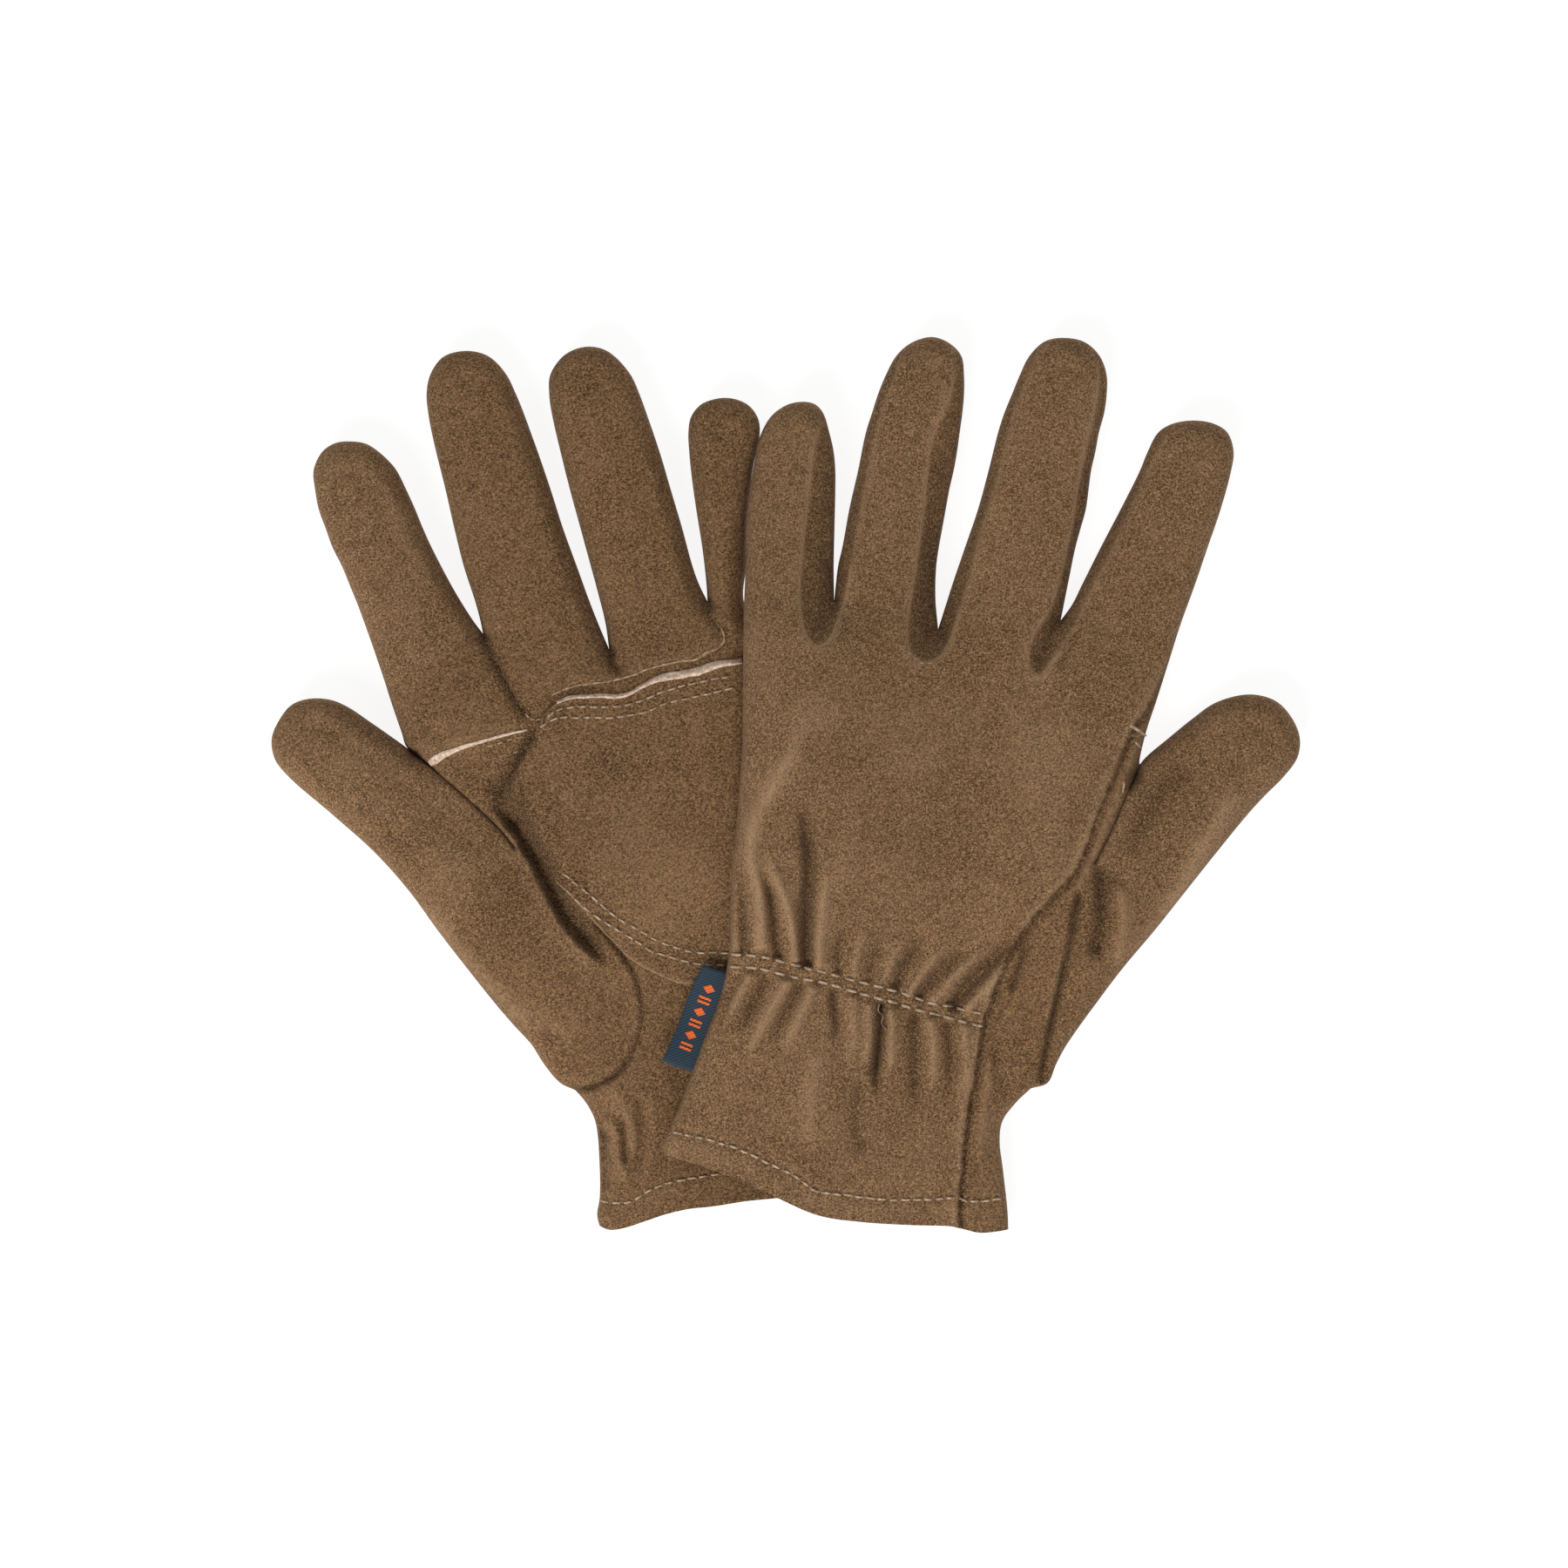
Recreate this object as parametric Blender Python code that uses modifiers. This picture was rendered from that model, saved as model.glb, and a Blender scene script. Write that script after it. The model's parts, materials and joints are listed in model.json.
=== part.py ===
"""A pair of suede work gloves, laid flat with one glove partly on the other.

Both are gloves for the left hand. The lower glove lies palm up, with its thumb
towards -X. The upper glove lies palm down, with its thumb towards +X, and its
little-finger edge rests on the lower glove. Fingers point along +Y, and the
table is the plane z = 0. The origin is under the middle of the pair.

Each glove is built from leather panels: a back, a palm with a reinforcing
patch, four finger backs and four finger fronts, side strips between the
fingers, a thumb in two halves on a thumb base, an elastic band at the wrist,
and rows of thread. Each finger and each thumb turns on its own axis, where
its panels meet the hand. All lengths below are in millimetres, and all angles
in radians.
"""

import math

import bpy
import numpy as np
from mathutils import Vector

MM = 0.001

# ---- driving dimensions ----------------------------------------------------
LEATHER = 1.3          # thickness of one layer of leather
SEAM_GAP = 0.45        # gap between panels that a seam joins
HINGE_GAP = 0.6        # gap on each side of a digit's axis
TABLE_GAP = 0.0        # height of the lowest surface over the table
FINGER_H = 8.6         # half thickness of a finger at its base
FINGER_MID_H = 8.0     # half thickness of a finger halfway along
FINGER_TIP_H = 7.2     # half thickness of a finger at its tip
THUMB_H = 9.4          # half thickness of a thumb
PALM_H = 11.2          # half thickness of the hand at the middle of the palm
WRIST_H = 8.2          # half thickness at the elastic
CUFF_H = 7.4           # half thickness at the cuff's mouth
PATCH_OUT = 2.5        # distance of the patch from the palm's inner surface
PATCH_T = 1.0          # thickness of the patch
PALM_STACK = 4.9       # room for palm, patch and thread together
FLATTEN = 1.0          # depth of the lower glove's back that is pressed flat
SECTION_POWER = 2.5    # superellipse power of every cross-section
THREAD_R = 0.35        # radius of a sewing thread
ELASTIC_T = 0.8        # thickness of the elastic band
HAND_LENGTH = 165.0    # nominal length that turns the hand's hinge gap into a share
THUMB_LENGTH = 120.0   # the same for a thumb

ORIGIN_SHIFT = (0.445, -0.76, 0.0)  # brings the origin under the middle of the pair

# ---- the plan of each glove ------------------------------------------------
# rows: share of the way from the cuff's mouth to the finger bases, then x, y of
# the row's end towards -X and x, y of its end towards +X
# fingers, from -X to +X, and thumb: the edge towards -X from base to tip, the
# edge towards +X, and the tip
UPPER = {
    "rows": np.array([
        (0.00, -33.75, -105.5, 64.5, -128.0),
        (0.14, -26.0, -84.0, 61.0, -105.0),
        (0.25, -18.0, -63.5, 57.5, -86.0),
        (0.32, -14.5, -50.5, 59.5, -68.0),
        (0.43, -14.0, -32.0, 68.5, -48.0),
        (0.57, -13.25, -10.0, 80.0, -28.0),
        (0.72, -12.75, 10.0, 91.0, -5.0),
        (0.87, -12.0, 30.0, 102.0, 10.0),
        (1.00, -11.4, 50.0, 108.6, 31.0),
    ]),
    "fingers": {
        "little": (
            [(-11.4, 50), (-11.0, 62), (-10.2, 75), (-8.8, 90), (-6.0, 100)],
            [(13.3, 49), (14.2, 62), (14.4, 75), (14.75, 90), (13.6, 100)],
            (5, 109.5),
        ),
        "ring": (
            [(13.3, 49), (15.4, 62), (17.75, 73.5), (21.25, 90), (25.25, 106.5), (28, 114.5)],
            [(43.2, 43), (43.9, 58), (45.5, 73.5), (48.75, 90), (51.25, 106.5), (51.6, 114.5)],
            (42, 128.5),
        ),
        "middle": (
            [(43.2, 43), (47.0, 55), (52, 69), (58.75, 90), (63.25, 106.5), (66.5, 115)],
            [(78.6, 44.5), (81.4, 57), (85.25, 73.5), (88.25, 90), (92, 106.5), (92.9, 115)],
            (81, 128.5),
        ),
        "index": (
            [(78.6, 44.5), (83.0, 53.5), (88, 62.5), (93.75, 73.5), (99.5, 84.5), (104.5, 94.5)],
            [(108.6, 31), (114.3, 48), (119.5, 61), (124.5, 75.5), (128, 87), (129.2, 92.5)],
            (119.3, 104.2),
        ),
    },
    "thumb": (
        [(60.5, -75), (62, -67), (71, -47.5), (83, -27.5),
         (93.5, -8.5), (103, 3), (110, 12), (121, 22)],
        [(72.5, -87), (80.75, -76.25), (96.75, -54.5), (109.25, -39.75),
         (121.75, -24.75), (134, -8.5), (146.5, 5)],
        (140.5, 24),
    ),
}
LOWER = {
    "rows": np.array([
        (0.00, -54.0, -128.0, 34.0, -111.0),
        (0.14, -53.0, -109.0, 29.0, -91.0),
        (0.25, -52.5, -91.0, 20.0, -72.0),
        (0.32, -49.5, -74.0, 14.0, -57.0),
        (0.43, -54.5, -51.0, 10.0, -36.0),
        (0.57, -68.0, -25.5, 7.5, -10.0),
        (0.72, -84.0, -8.5, 5.5, 12.0),
        (0.87, -102.0, 6.5, -1.0, 33.0),
        (1.00, -113.5, 28.5, -12.9, 52.0),
    ]),
    "fingers": {
        "index": (
            [(-113.5, 28.5), (-118.5, 42), (-123, 53), (-127, 62.5), (-131.75, 73.5), (-135, 85)],
            [(-85.8, 40.5), (-92, 51.5), (-98.75, 62.5), (-102.5, 70), (-105.5, 78), (-111, 90.5)],
            (-126.5, 98.8),
        ),
        "middle": (
            [(-85.8, 40.5), (-90.25, 57), (-93, 68), (-96, 79), (-101.25, 101), (-102.8, 111)],
            [(-50.6, 36.5), (-55.5, 51.5), (-59.5, 62.5), (-67, 84.5), (-74.75, 106.5),
             (-77, 112.5)],
            (-91.3, 124.6),
        ),
        "ring": (
            [(-50.6, 36.5), (-52.6, 51.5), (-55.5, 62.5), (-61.5, 84.5), (-66.75, 106.5),
             (-67.5, 112)],
            [(-22.3, 50), (-24.5, 57), (-26.25, 62.5), (-32.5, 84.5), (-39.5, 106.5),
             (-41.5, 112)],
            (-55.5, 125.9),
        ),
        "little": (
            [(-22.3, 50), (-23.2, 60), (-24.5, 73.5), (-26, 84.5), (-27.25, 95.5), (-27.5, 101)],
            [(-12.9, 52.0), (-12.8, 62), (-12.2, 73), (-11.0, 85), (-9.0, 95), (-8.0, 101)],
            (-16.8, 110.4),
        ),
    },
    "thumb": (
        [(-64, -84), (-72.5, -75), (-85, -60.75), (-100.5, -40.6),
         (-117.25, -20), (-131, -7.8), (-147, 11)],
        [(-51.5, -74), (-56.5, -52.5), (-68.5, -29), (-79, -16),
         (-92.5, -5.8), (-105.5, 4.5), (-116, 14), (-129.25, 24.25)],
        (-144, 22.5),
    ),
}

# ---- thicknesses and heights along the gloves ------------------------------
# share of the hand's length, half thickness
HAND_HALVES = np.array([
    (0, CUFF_H), (0.14, 7.8), (0.28, 8.0), (0.34, WRIST_H),
    (0.48, 10.0), (0.68, PALM_H), (0.86, 10.2), (1, 9.0),
])
# share of the digit's length, half thickness
FINGER_HALVES = np.array([(0, FINGER_H), (0.5, FINGER_MID_H), (1, FINGER_TIP_H)])
THUMB_HALVES = np.array([(0, 5.5), (0.2, 9.0), (0.3, THUMB_H), (0.8, 8.6), (1, 7.8)])

# the surface between the gloves: y, x of its high edge, x of its low edge,
# height at the high edge
SPLIT = np.array([
    (-130, -40, 40, 14), (-105, -34, 36, 14.5), (-80, -25, 27, 17), (-50, -14.5, 16, 20.5),
    (-20, -13.5, 12, 22), (20, -12.8, 9, 21), (50, -11.9, -4, 18), (60, -11.5, -6, 17),
])
SPLIT_LOW = 9.0          # height at the low edge
SPLIT_FALL_X = 15.0      # distance past the low edge in which it falls to the table
SPLIT_FALL_Y = 7.0       # distance along Y in which it ends
SPLIT_END_UPPER = 52.0   # y where it starts to end for the upper glove
SPLIT_END_LOWER = 200.0  # the same for the lower glove, beyond its fingers
SPLIT_CLEARANCE = 0.35   # each glove's distance from the surface
SPLIT_IGNORED = 0.5      # the lower glove isn't squeezed where the surface is below this
DIGIT_CLEARANCE = 0.5    # more clearance for the upper glove's fingers

# lift of the upper glove: y, x of full lift, full lift, x of no lift
LIFT = np.array([
    (-130, -40, 12.5, 62), (-105, -34, 12.5, 62), (-80, -25, 13, 60),
    (-50, -14.5, 14, 60), (-20, -13.5, 14, 66), (40, -12.2, 12, 60),
    (60, -11.5, 9, 54), (90, -9, 5, 46), (128, 0, 3, 46),
])

# ---- places on the hand, as shares of its rows unless noted ----------------
BASE_BLEND = 0.62             # from here the rows bend towards the finger bases
ELASTIC_ROWS = (0.300, 0.326) # the elastic's lower and upper seams
ELASTIC_MARGIN = 0.006        # band outside each of its seams
ELASTIC_END = 0.75            # angle from each side edge to the elastic's end
HEM_ROW = 0.055
HEM_END = 0.6                 # angle from each side edge to the hem thread's end
SIDE_SEAM = 0.06              # angle that a side seam leaves open
SLOPE_STEP = 0.006            # step for measuring the surface's slope
# the reinforcing patch, in shares of the hand's rows and width
PATCH = {
    "low": 0.385, "high": 0.90, "thumb_side": 0.10, "little_side": 0.93,
    "cutaway": 0.17,        # how much higher the lower edge is at the thumb's side
    "cutaway_width": 0.75,  # share of the patch's width that the cutaway takes
}
PATCH_SEAMS = (("top", 0.94), ("bottom", 0.06))  # name, share of the patch's length
PATCH_SEAM_END = 0.04         # share of the patch's width beyond each end of a seam

# ---- places on the digits, as shares of their length unless noted ----------
EDGE_ROUNDING = 0.04  # reach of the averaging along an edge line
EDGE_FADE = 0.08      # the averaging fades out this close to the line's ends
CAP_START = 0.86      # where the rounded tip starts
CAP_END_WIDTH = 0.28  # share of the width left at the tip
TIP_HALF = 0.35       # half thickness left at the tip
MIN_HALF_WIDTH = 0.4  # smallest half width of a digit's inner surface
BASE_NARROWING = 0.9  # taken from a finger's half width at its base
ROW_CROWDING = 0.85   # power that spaces the panels' rows along a digit
FINGER_START = 0.018  # where a finger's panels start
THUMB_AXIS = 0.40     # where the thumb's axis crosses it
THUMB_GAP = HINGE_GAP / THUMB_LENGTH
FINGER_AXIS_RISE = 1.3  # height of the axis over the finger's base
THUMB_AXIS_RISE = 0.6   # height of the axis over the thumb
STRIP_EDGE = 0.72       # angle from a finger's side to the edge of its back or front
STRIP_GAP = 0.10        # angle left open between a side strip and its neighbours
STRIP_TAPER = 0.45      # how much narrower a side strip is at its end
THUMB_BASE_OPEN = 0.35  # angle of the opening on each side of the hand's direction

# ---- the woven label in the upper glove's side seam ------------------------
LABEL_LENGTH, LABEL_WIDTH, LABEL_T = 28.0, 9.0, 0.9
LABEL_SEAM = np.array([(-15.8, -53.5), (-24.6, -79.8)])  # the seam's two ends
LABEL_OUT = 1.2        # the label's near edge, outwards from the seam
LABEL_AXIS_OUT = 0.6   # the label's axis, outwards from the seam
LABEL_NEAR_Z, LABEL_FAR_Z = 20.2, 19.2  # heights at its near and far edges


# ---- small helpers ---------------------------------------------------------
def smooth(x):
    x = np.clip(x, 0.0, 1.0)
    return x * x * (3 - 2 * x)


def interpolate(x, stations, columns):
    return np.array([np.interp(x, stations, column) for column in columns.T])


def look_up(x, table):
    """The table's other columns at a value of its first column."""
    return interpolate(x, table[:, 0], table[:, 1:])


def along(points, share):
    """Point at a share of a polyline's length, rounded a little by averaging."""
    points = np.array(points, float)
    steps = np.linalg.norm(np.diff(points, axis=0), axis=1)
    shares = np.concatenate([[0], np.cumsum(steps)]) / steps.sum()
    exact = interpolate(share, shares, points)
    before = interpolate(share - EDGE_ROUNDING, shares, points)
    after = interpolate(share + EDGE_ROUNDING, shares, points)
    rounded = 0.25 * before + 0.5 * exact + 0.25 * after
    # the ends stay put
    weight = smooth(min(share, 1 - share) / EDGE_FADE)
    return rounded * weight + exact * (1 - weight)


def section(value):
    """Superellipse coordinate for a sine or cosine."""
    return math.copysign(abs(value) ** (2 / SECTION_POWER), value)


def section_angle(share):
    """The section's angle at a share of the width, counted from -X."""
    u = 2 * share - 1
    return math.acos(math.copysign(abs(u) ** (SECTION_POWER / 2), u))


def split_height(x, y, end_y):
    """Height of the surface that separates the gloves.

    The lower glove stays under it and the upper glove over it.
    """
    high_x, low_x, high_z = look_up(y, SPLIT)
    share = np.clip((x - high_x) / (low_x - high_x), 0, 1)
    height = SPLIT_LOW + (high_z - SPLIT_LOW) * (1 - share)
    fall_x = 1 - smooth((x - low_x) / SPLIT_FALL_X)
    fall_y = 1 - smooth((y - end_y) / SPLIT_FALL_Y)
    return height * fall_x * fall_y


def upper_lift(x, y):
    """How far the upper glove's middle plane is raised where it lies on the lower glove."""
    full_x, lift, none_x = look_up(y, LIFT)
    return lift * (1 - smooth((x - full_x) / (none_x - full_x)))


# ---- the gloves' surfaces --------------------------------------------------
class Glove:
    """One glove. side is +1 if the back of the hand faces up, and -1 if the palm does."""

    def __init__(self, name, plan, side):
        self.name, self.side, self.rows = name, side, plan["rows"]
        self.fingers = {
            key: Digit(self, shape, False) for key, shape in plan["fingers"].items()
        }
        self.thumb = Digit(self, plan["thumb"], True)
        # the points between the fingers' bases, and their shares of the width
        shapes = list(plan["fingers"].values())
        first = shapes[0][0][0]
        self.base = np.array([first] + [shape[1][0] for shape in shapes], float)
        widths = np.linalg.norm(np.diff(self.base, axis=0), axis=1)
        self.base_shares = np.concatenate([[0], np.cumsum(widths)]) / widths.sum()

    def half(self, s):
        """Half thickness of the hand at a share of its length."""
        return float(look_up(s, HAND_HALVES)[0])

    def middle(self, x, y, half):
        """Height of the middle plane for a part of this half thickness."""
        return half + TABLE_GAP + (upper_lift(x, y) if self.side > 0 else 0.0)

    def settle(self, x, y, z, half, room):
        """Squeezes a section onto its own side of the surface between the gloves."""
        middle = self.middle(x, y, half)
        low, high = middle - half + LEATHER, middle + half - LEATHER
        if self.side > 0:
            split = split_height(x, y, SPLIT_END_UPPER)
            new_low, new_high = max(low, split + SPLIT_CLEARANCE + room), high
        else:
            split = split_height(x, y, SPLIT_END_LOWER)
            new_low, new_high = low, high
            if split > SPLIT_IGNORED:
                new_high = min(high, split - SPLIT_CLEARANCE - room)
        return new_low + (z - low) / (high - low) * (new_high - new_low)

    def plan_point(self, s, t):
        """Plan point of the hand.

        s runs from the cuff's mouth (0) to the finger bases (1), t from -X (0) to +X (1).
        """
        ends = look_up(s, self.rows)
        straight = ends[:2] + (ends[2:] - ends[:2]) * t
        base = interpolate(t, self.base_shares, self.base)
        chord = self.base[0] + (self.base[-1] - self.base[0]) * t
        return straight + smooth((s - BASE_BLEND) / (1 - BASE_BLEND)) * (base - chord)

    def inner_point(self, s, angle, face):
        """A point on the hand's inner surface.

        angle runs from 0 at the +X edge to pi at the -X edge; face is +1 on the
        glove's back and -1 on its palm.
        """
        u = section(math.cos(angle))
        half = self.half(s)
        x, y = centre = self.plan_point(s, (1 + u) / 2)
        row = self.plan_point(s, 1.0) - self.plan_point(s, 0.0)
        inset = centre - row / np.linalg.norm(row) * LEATHER * u
        rise = (half - LEATHER) * section(math.sin(angle))
        z = self.middle(x, y, half) + face * self.side * rise
        if face > 0 and self.side < 0:
            # the lower glove's back is pressed flat on the table
            z = max(z - FLATTEN, LEATHER)
        return np.array([inset[0], inset[1], self.settle(x, y, z, half, PALM_STACK)])

    def outer_point(self, s, angle, face, out):
        """A point at a distance outwards from the hand's inner surface."""
        ds, da = SLOPE_STEP, 3 * SLOPE_STEP
        lengthwise = self.inner_point(s + ds, angle, face) - self.inner_point(s - ds, angle, face)
        crosswise = self.inner_point(s, angle + da, face) - self.inner_point(s, angle - da, face)
        normal = np.cross(lengthwise, crosswise)
        normal = normal / np.linalg.norm(normal)
        if normal[2] * face * self.side < 0:
            normal = -normal
        return self.inner_point(s, angle, face) + normal * out

    def inside(self):
        x, y = self.plan_point(0.5, 0.5)
        return x, y, self.middle(x, y, self.half(0.5))


class Digit:
    """A finger or a thumb of a glove, with s from its base (0) to its tip (1)."""

    def __init__(self, glove, shape, is_thumb):
        self.glove, self.is_thumb = glove, is_thumb
        self.left, self.right, self.tip = (np.array(part, float) for part in shape)

    def row(self, s):
        """Centre, half-width vector towards +X, and share of the thickness."""
        share = min(s / CAP_START, 1.0)
        left, right = along(self.left, share), along(self.right, share)
        centre, across = (left + right) / 2, (right - left) / 2
        if s <= CAP_START:
            return centre, across, 1.0
        turn = (s - CAP_START) / (1 - CAP_START) * math.pi / 2
        width = CAP_END_WIDTH + (1 - CAP_END_WIDTH) * math.cos(turn)
        return centre + (self.tip - centre) * math.sin(turn), across * width, math.cos(turn)

    def half(self, s):
        return float(look_up(s, THUMB_HALVES if self.is_thumb else FINGER_HALVES)[0])

    def middle(self, s):
        """The point on the digit's middle line; thumbs lie on the table."""
        (x, y), half = self.row(s)[0], self.half(s)
        z = half + TABLE_GAP if self.is_thumb else self.glove.middle(x, y, half)
        return x, y, z

    def above(self, s, rise):
        """The point over the middle line at a height over the digit's upper side."""
        x, y, z = self.middle(s)
        return x, y, z + self.half(s) + rise

    def inner_point(self, s, angle):
        """A point on the inner surface. angle turns from +X (0) through +Z (pi / 2)."""
        _, across, thickness = self.row(s)
        x, y, middle_z = self.middle(s)
        width = np.linalg.norm(across)
        direction = across / width
        if not self.is_thumb:
            # the fingers stand a little apart where they leave the hand
            width -= BASE_NARROWING * (1 - smooth((s - 0.1) / 0.6))
        half_width = max(width - LEATHER, MIN_HALF_WIDTH)
        point = np.array([x, y]) + direction * half_width * section(math.cos(angle))
        half = TIP_HALF + (self.half(s) - LEATHER - TIP_HALF) * thickness
        z = middle_z + half * section(math.sin(angle))
        if not self.is_thumb and self.glove.side > 0:
            z = self.glove.settle(x, y, z, self.half(s), LEATHER + DIGIT_CLEARANCE)
        return np.array([point[0], point[1], z])


# ---- materials and objects -------------------------------------------------
for old in list(bpy.data.objects):
    bpy.data.objects.remove(old)

parts = bpy.data.collections.new("work_gloves")
bpy.context.scene.collection.children.link(parts)


def material(name, colour, roughness):
    made = bpy.data.materials.new(name)
    made.use_nodes = True
    shader = made.node_tree.nodes["Principled BSDF"]
    shader.inputs["Base Color"].default_value = (*colour, 1)
    shader.inputs["Roughness"].default_value = roughness
    made.diffuse_color = (*colour, 1)
    return made


SUEDE = material("suede", colour=(0.165, 0.095, 0.046), roughness=0.95)
SUEDE_FLESH = material("suede_flesh_side", colour=(0.20, 0.12, 0.062), roughness=0.95)
THREAD = material("sewing_thread", colour=(0.55, 0.40, 0.25), roughness=0.7)
ELASTIC = material("elastic_web", colour=(0.62, 0.58, 0.50), roughness=0.85)
LABEL = material("woven_label", colour=(0.03, 0.065, 0.10), roughness=0.8)


def pivot(name, at):
    """An empty on a joint's axis, which carries the pieces that turn with it."""
    empty = bpy.data.objects.new(name, None)
    empty.location = Vector(at) * MM
    empty.empty_display_size = 0.01
    parts.objects.link(empty)
    return empty


def place(ob, name, surface_material, parent):
    """Names a new mesh object and moves it to the gloves' collection."""
    ob.name = ob.data.name = name
    ob.data.materials.append(surface_material)
    for collection in list(ob.users_collection):
        collection.objects.unlink(ob)
    parts.objects.link(ob)
    ob.parent = parent


def panel(name, cells, surface, inside, thickness=LEATHER, leather=SUEDE, parent=None):
    """A panel: a grid shaped by surface(a, b), with a and b from 0 to 1, thickened outwards.

    inside is a point that the panel's outer side faces away from.
    """
    bpy.ops.mesh.primitive_grid_add(x_subdivisions=cells[0], y_subdivisions=cells[1], size=2)
    ob = bpy.context.active_object
    mesh = ob.data
    origin = parent.location / MM if parent is not None else Vector((0, 0, 0))
    points = []
    for vertex in mesh.vertices:
        point = surface((vertex.co.x + 1) / 2, (vertex.co.y + 1) / 2)
        points.append(point)
        vertex.co = (Vector(point) - origin) * MM
    mesh.update()

    outwardness = 0.0
    for face in mesh.polygons:
        centre = Vector(np.mean([points[i] for i in face.vertices], axis=0))
        outwardness += (centre - Vector(inside)).dot(face.normal) * face.area
    if outwardness < 0:
        mesh.flip_normals()
    mesh.shade_smooth()
    mesh.set_sharp_from_angle(angle=math.radians(50))

    solidify = ob.modifiers.new("leather", "SOLIDIFY")
    solidify.thickness = thickness * MM
    solidify.offset = 1.0
    solidify.use_even_offset = False
    place(ob, name, leather, parent)


def thread(name, points):
    """A row of stitching: one cord through the given points."""
    curve = bpy.data.curves.new(name, "CURVE")
    curve.dimensions = "3D"
    curve.bevel_depth = THREAD_R * MM
    curve.bevel_resolution = 0
    curve.use_fill_caps = True
    spline = curve.splines.new("POLY")
    spline.points.add(len(points) - 1)
    for spline_point, point in zip(spline.points, points):
        spline_point.co = (*(Vector(point) * MM), 1)
    curve.materials.append(THREAD)
    parts.objects.link(bpy.data.objects.new(name, curve))


# ---- the hand's pieces -----------------------------------------------------
def build_hand_panels(glove):
    for part, face in (("back", +1), ("palm", -1)):

        def surface(a, b):
            s = b * (1 - HINGE_GAP / HAND_LENGTH)
            angle = SIDE_SEAM + (math.pi - 2 * SIDE_SEAM) * a
            return glove.inner_point(s, angle, face)

        panel(f"{glove.name}_{part}_panel", (14, 12), surface, glove.inside())


def build_patch(glove):
    """The reinforcing patch on the palm, with its two rows of thread."""

    def patch_point(a, b, out):
        """a runs from the thumb's side to the little finger's, b from the wrist's end."""
        across = PATCH["thumb_side"] + (PATCH["little_side"] - PATCH["thumb_side"]) * a
        low = PATCH["low"] + PATCH["cutaway"] * (1 - smooth(a / PATCH["cutaway_width"]))
        s = low + (PATCH["high"] - low) * b
        angle = section_angle(1 - across if glove.side > 0 else across)
        return glove.outer_point(s, angle, -1, out)

    x, y, z = glove.inside()
    panel(
        f"{glove.name}_palm_patch", (10, 8), lambda a, b: patch_point(a, b, PATCH_OUT),
        inside=(x, y, z + glove.side * 90), thickness=PATCH_T,
    )
    out = PATCH_OUT + PATCH_T + SEAM_GAP + THREAD_R
    for label, b in PATCH_SEAMS:
        shares = np.linspace(PATCH_SEAM_END, 1 - PATCH_SEAM_END, 12)
        points = [patch_point(a, b, out) for a in shares]
        thread(f"{glove.name}_patch_stitching_{label}", points)


def build_elastic(glove):
    """The elastic band inside the back, at the wrist."""
    low, high = ELASTIC_ROWS[0] - ELASTIC_MARGIN, ELASTIC_ROWS[1] + ELASTIC_MARGIN

    def surface(a, b):
        angle = ELASTIC_END + (math.pi - 2 * ELASTIC_END) * a
        return glove.outer_point(low + (high - low) * b, angle, +1, -(SEAM_GAP + ELASTIC_T))

    panel(
        f"{glove.name}_wrist_elastic", (12, 1), surface, glove.inside(),
        thickness=ELASTIC_T, leather=ELASTIC,
    )


def thread_across(glove, label, s, face, out, end_angle, count):
    angles = np.linspace(end_angle, math.pi - end_angle, count)
    points = [glove.outer_point(s, angle, face, out) for angle in angles]
    thread(f"{glove.name}_{label}", points)


def build_hand_threads(glove):
    outside = LEATHER + SEAM_GAP + THREAD_R
    # the lower glove's back lies on the table, so its elastic's thread shows inside
    within = -(2 * SEAM_GAP + ELASTIC_T + THREAD_R)
    elastic_out = outside if glove.side > 0 else within
    for label, s in zip(("lower", "upper"), ELASTIC_ROWS):
        name = f"elastic_stitching_{label}"
        thread_across(glove, name, s, +1, elastic_out, ELASTIC_END, 14)
    # the hem's thread is on whichever face is up
    thread_across(glove, "hem_stitching", HEM_ROW, glove.side, outside, HEM_END, 12)


# ---- the digits' pieces ----------------------------------------------------
def build_halves(digit, name, start, first_angle, last_angle, columns, inside, hinge):
    """A digit's back and front, between two angles on its upper side and their mirror images."""
    for part, face in (("back", +1), ("front", -1)):
        upward = face * digit.glove.side > 0

        def surface(a, b):
            s = start + (1 - start) * b ** ROW_CROWDING
            angle = first_angle + (last_angle - first_angle) * a
            return digit.inner_point(s, angle if upward else 2 * math.pi - angle)

        panel(f"{name}_{part}", (columns, 8), surface, inside, parent=hinge)


def build_side_strip(finger, name, side_angle, inside, hinge):
    """The strip on a finger's side; it ends short of the tip."""

    def surface(a, b):
        s = FINGER_START + (1 - FINGER_START) * (b * 7 / 8) ** ROW_CROWDING
        reach = (STRIP_EDGE - STRIP_GAP) * (1 - STRIP_TAPER * smooth((b - 0.8) / 0.2))
        return finger.inner_point(s, side_angle - reach + 2 * reach * a)

    panel(name, (2, 7), surface, inside, leather=SUEDE_FLESH, parent=hinge)


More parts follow.
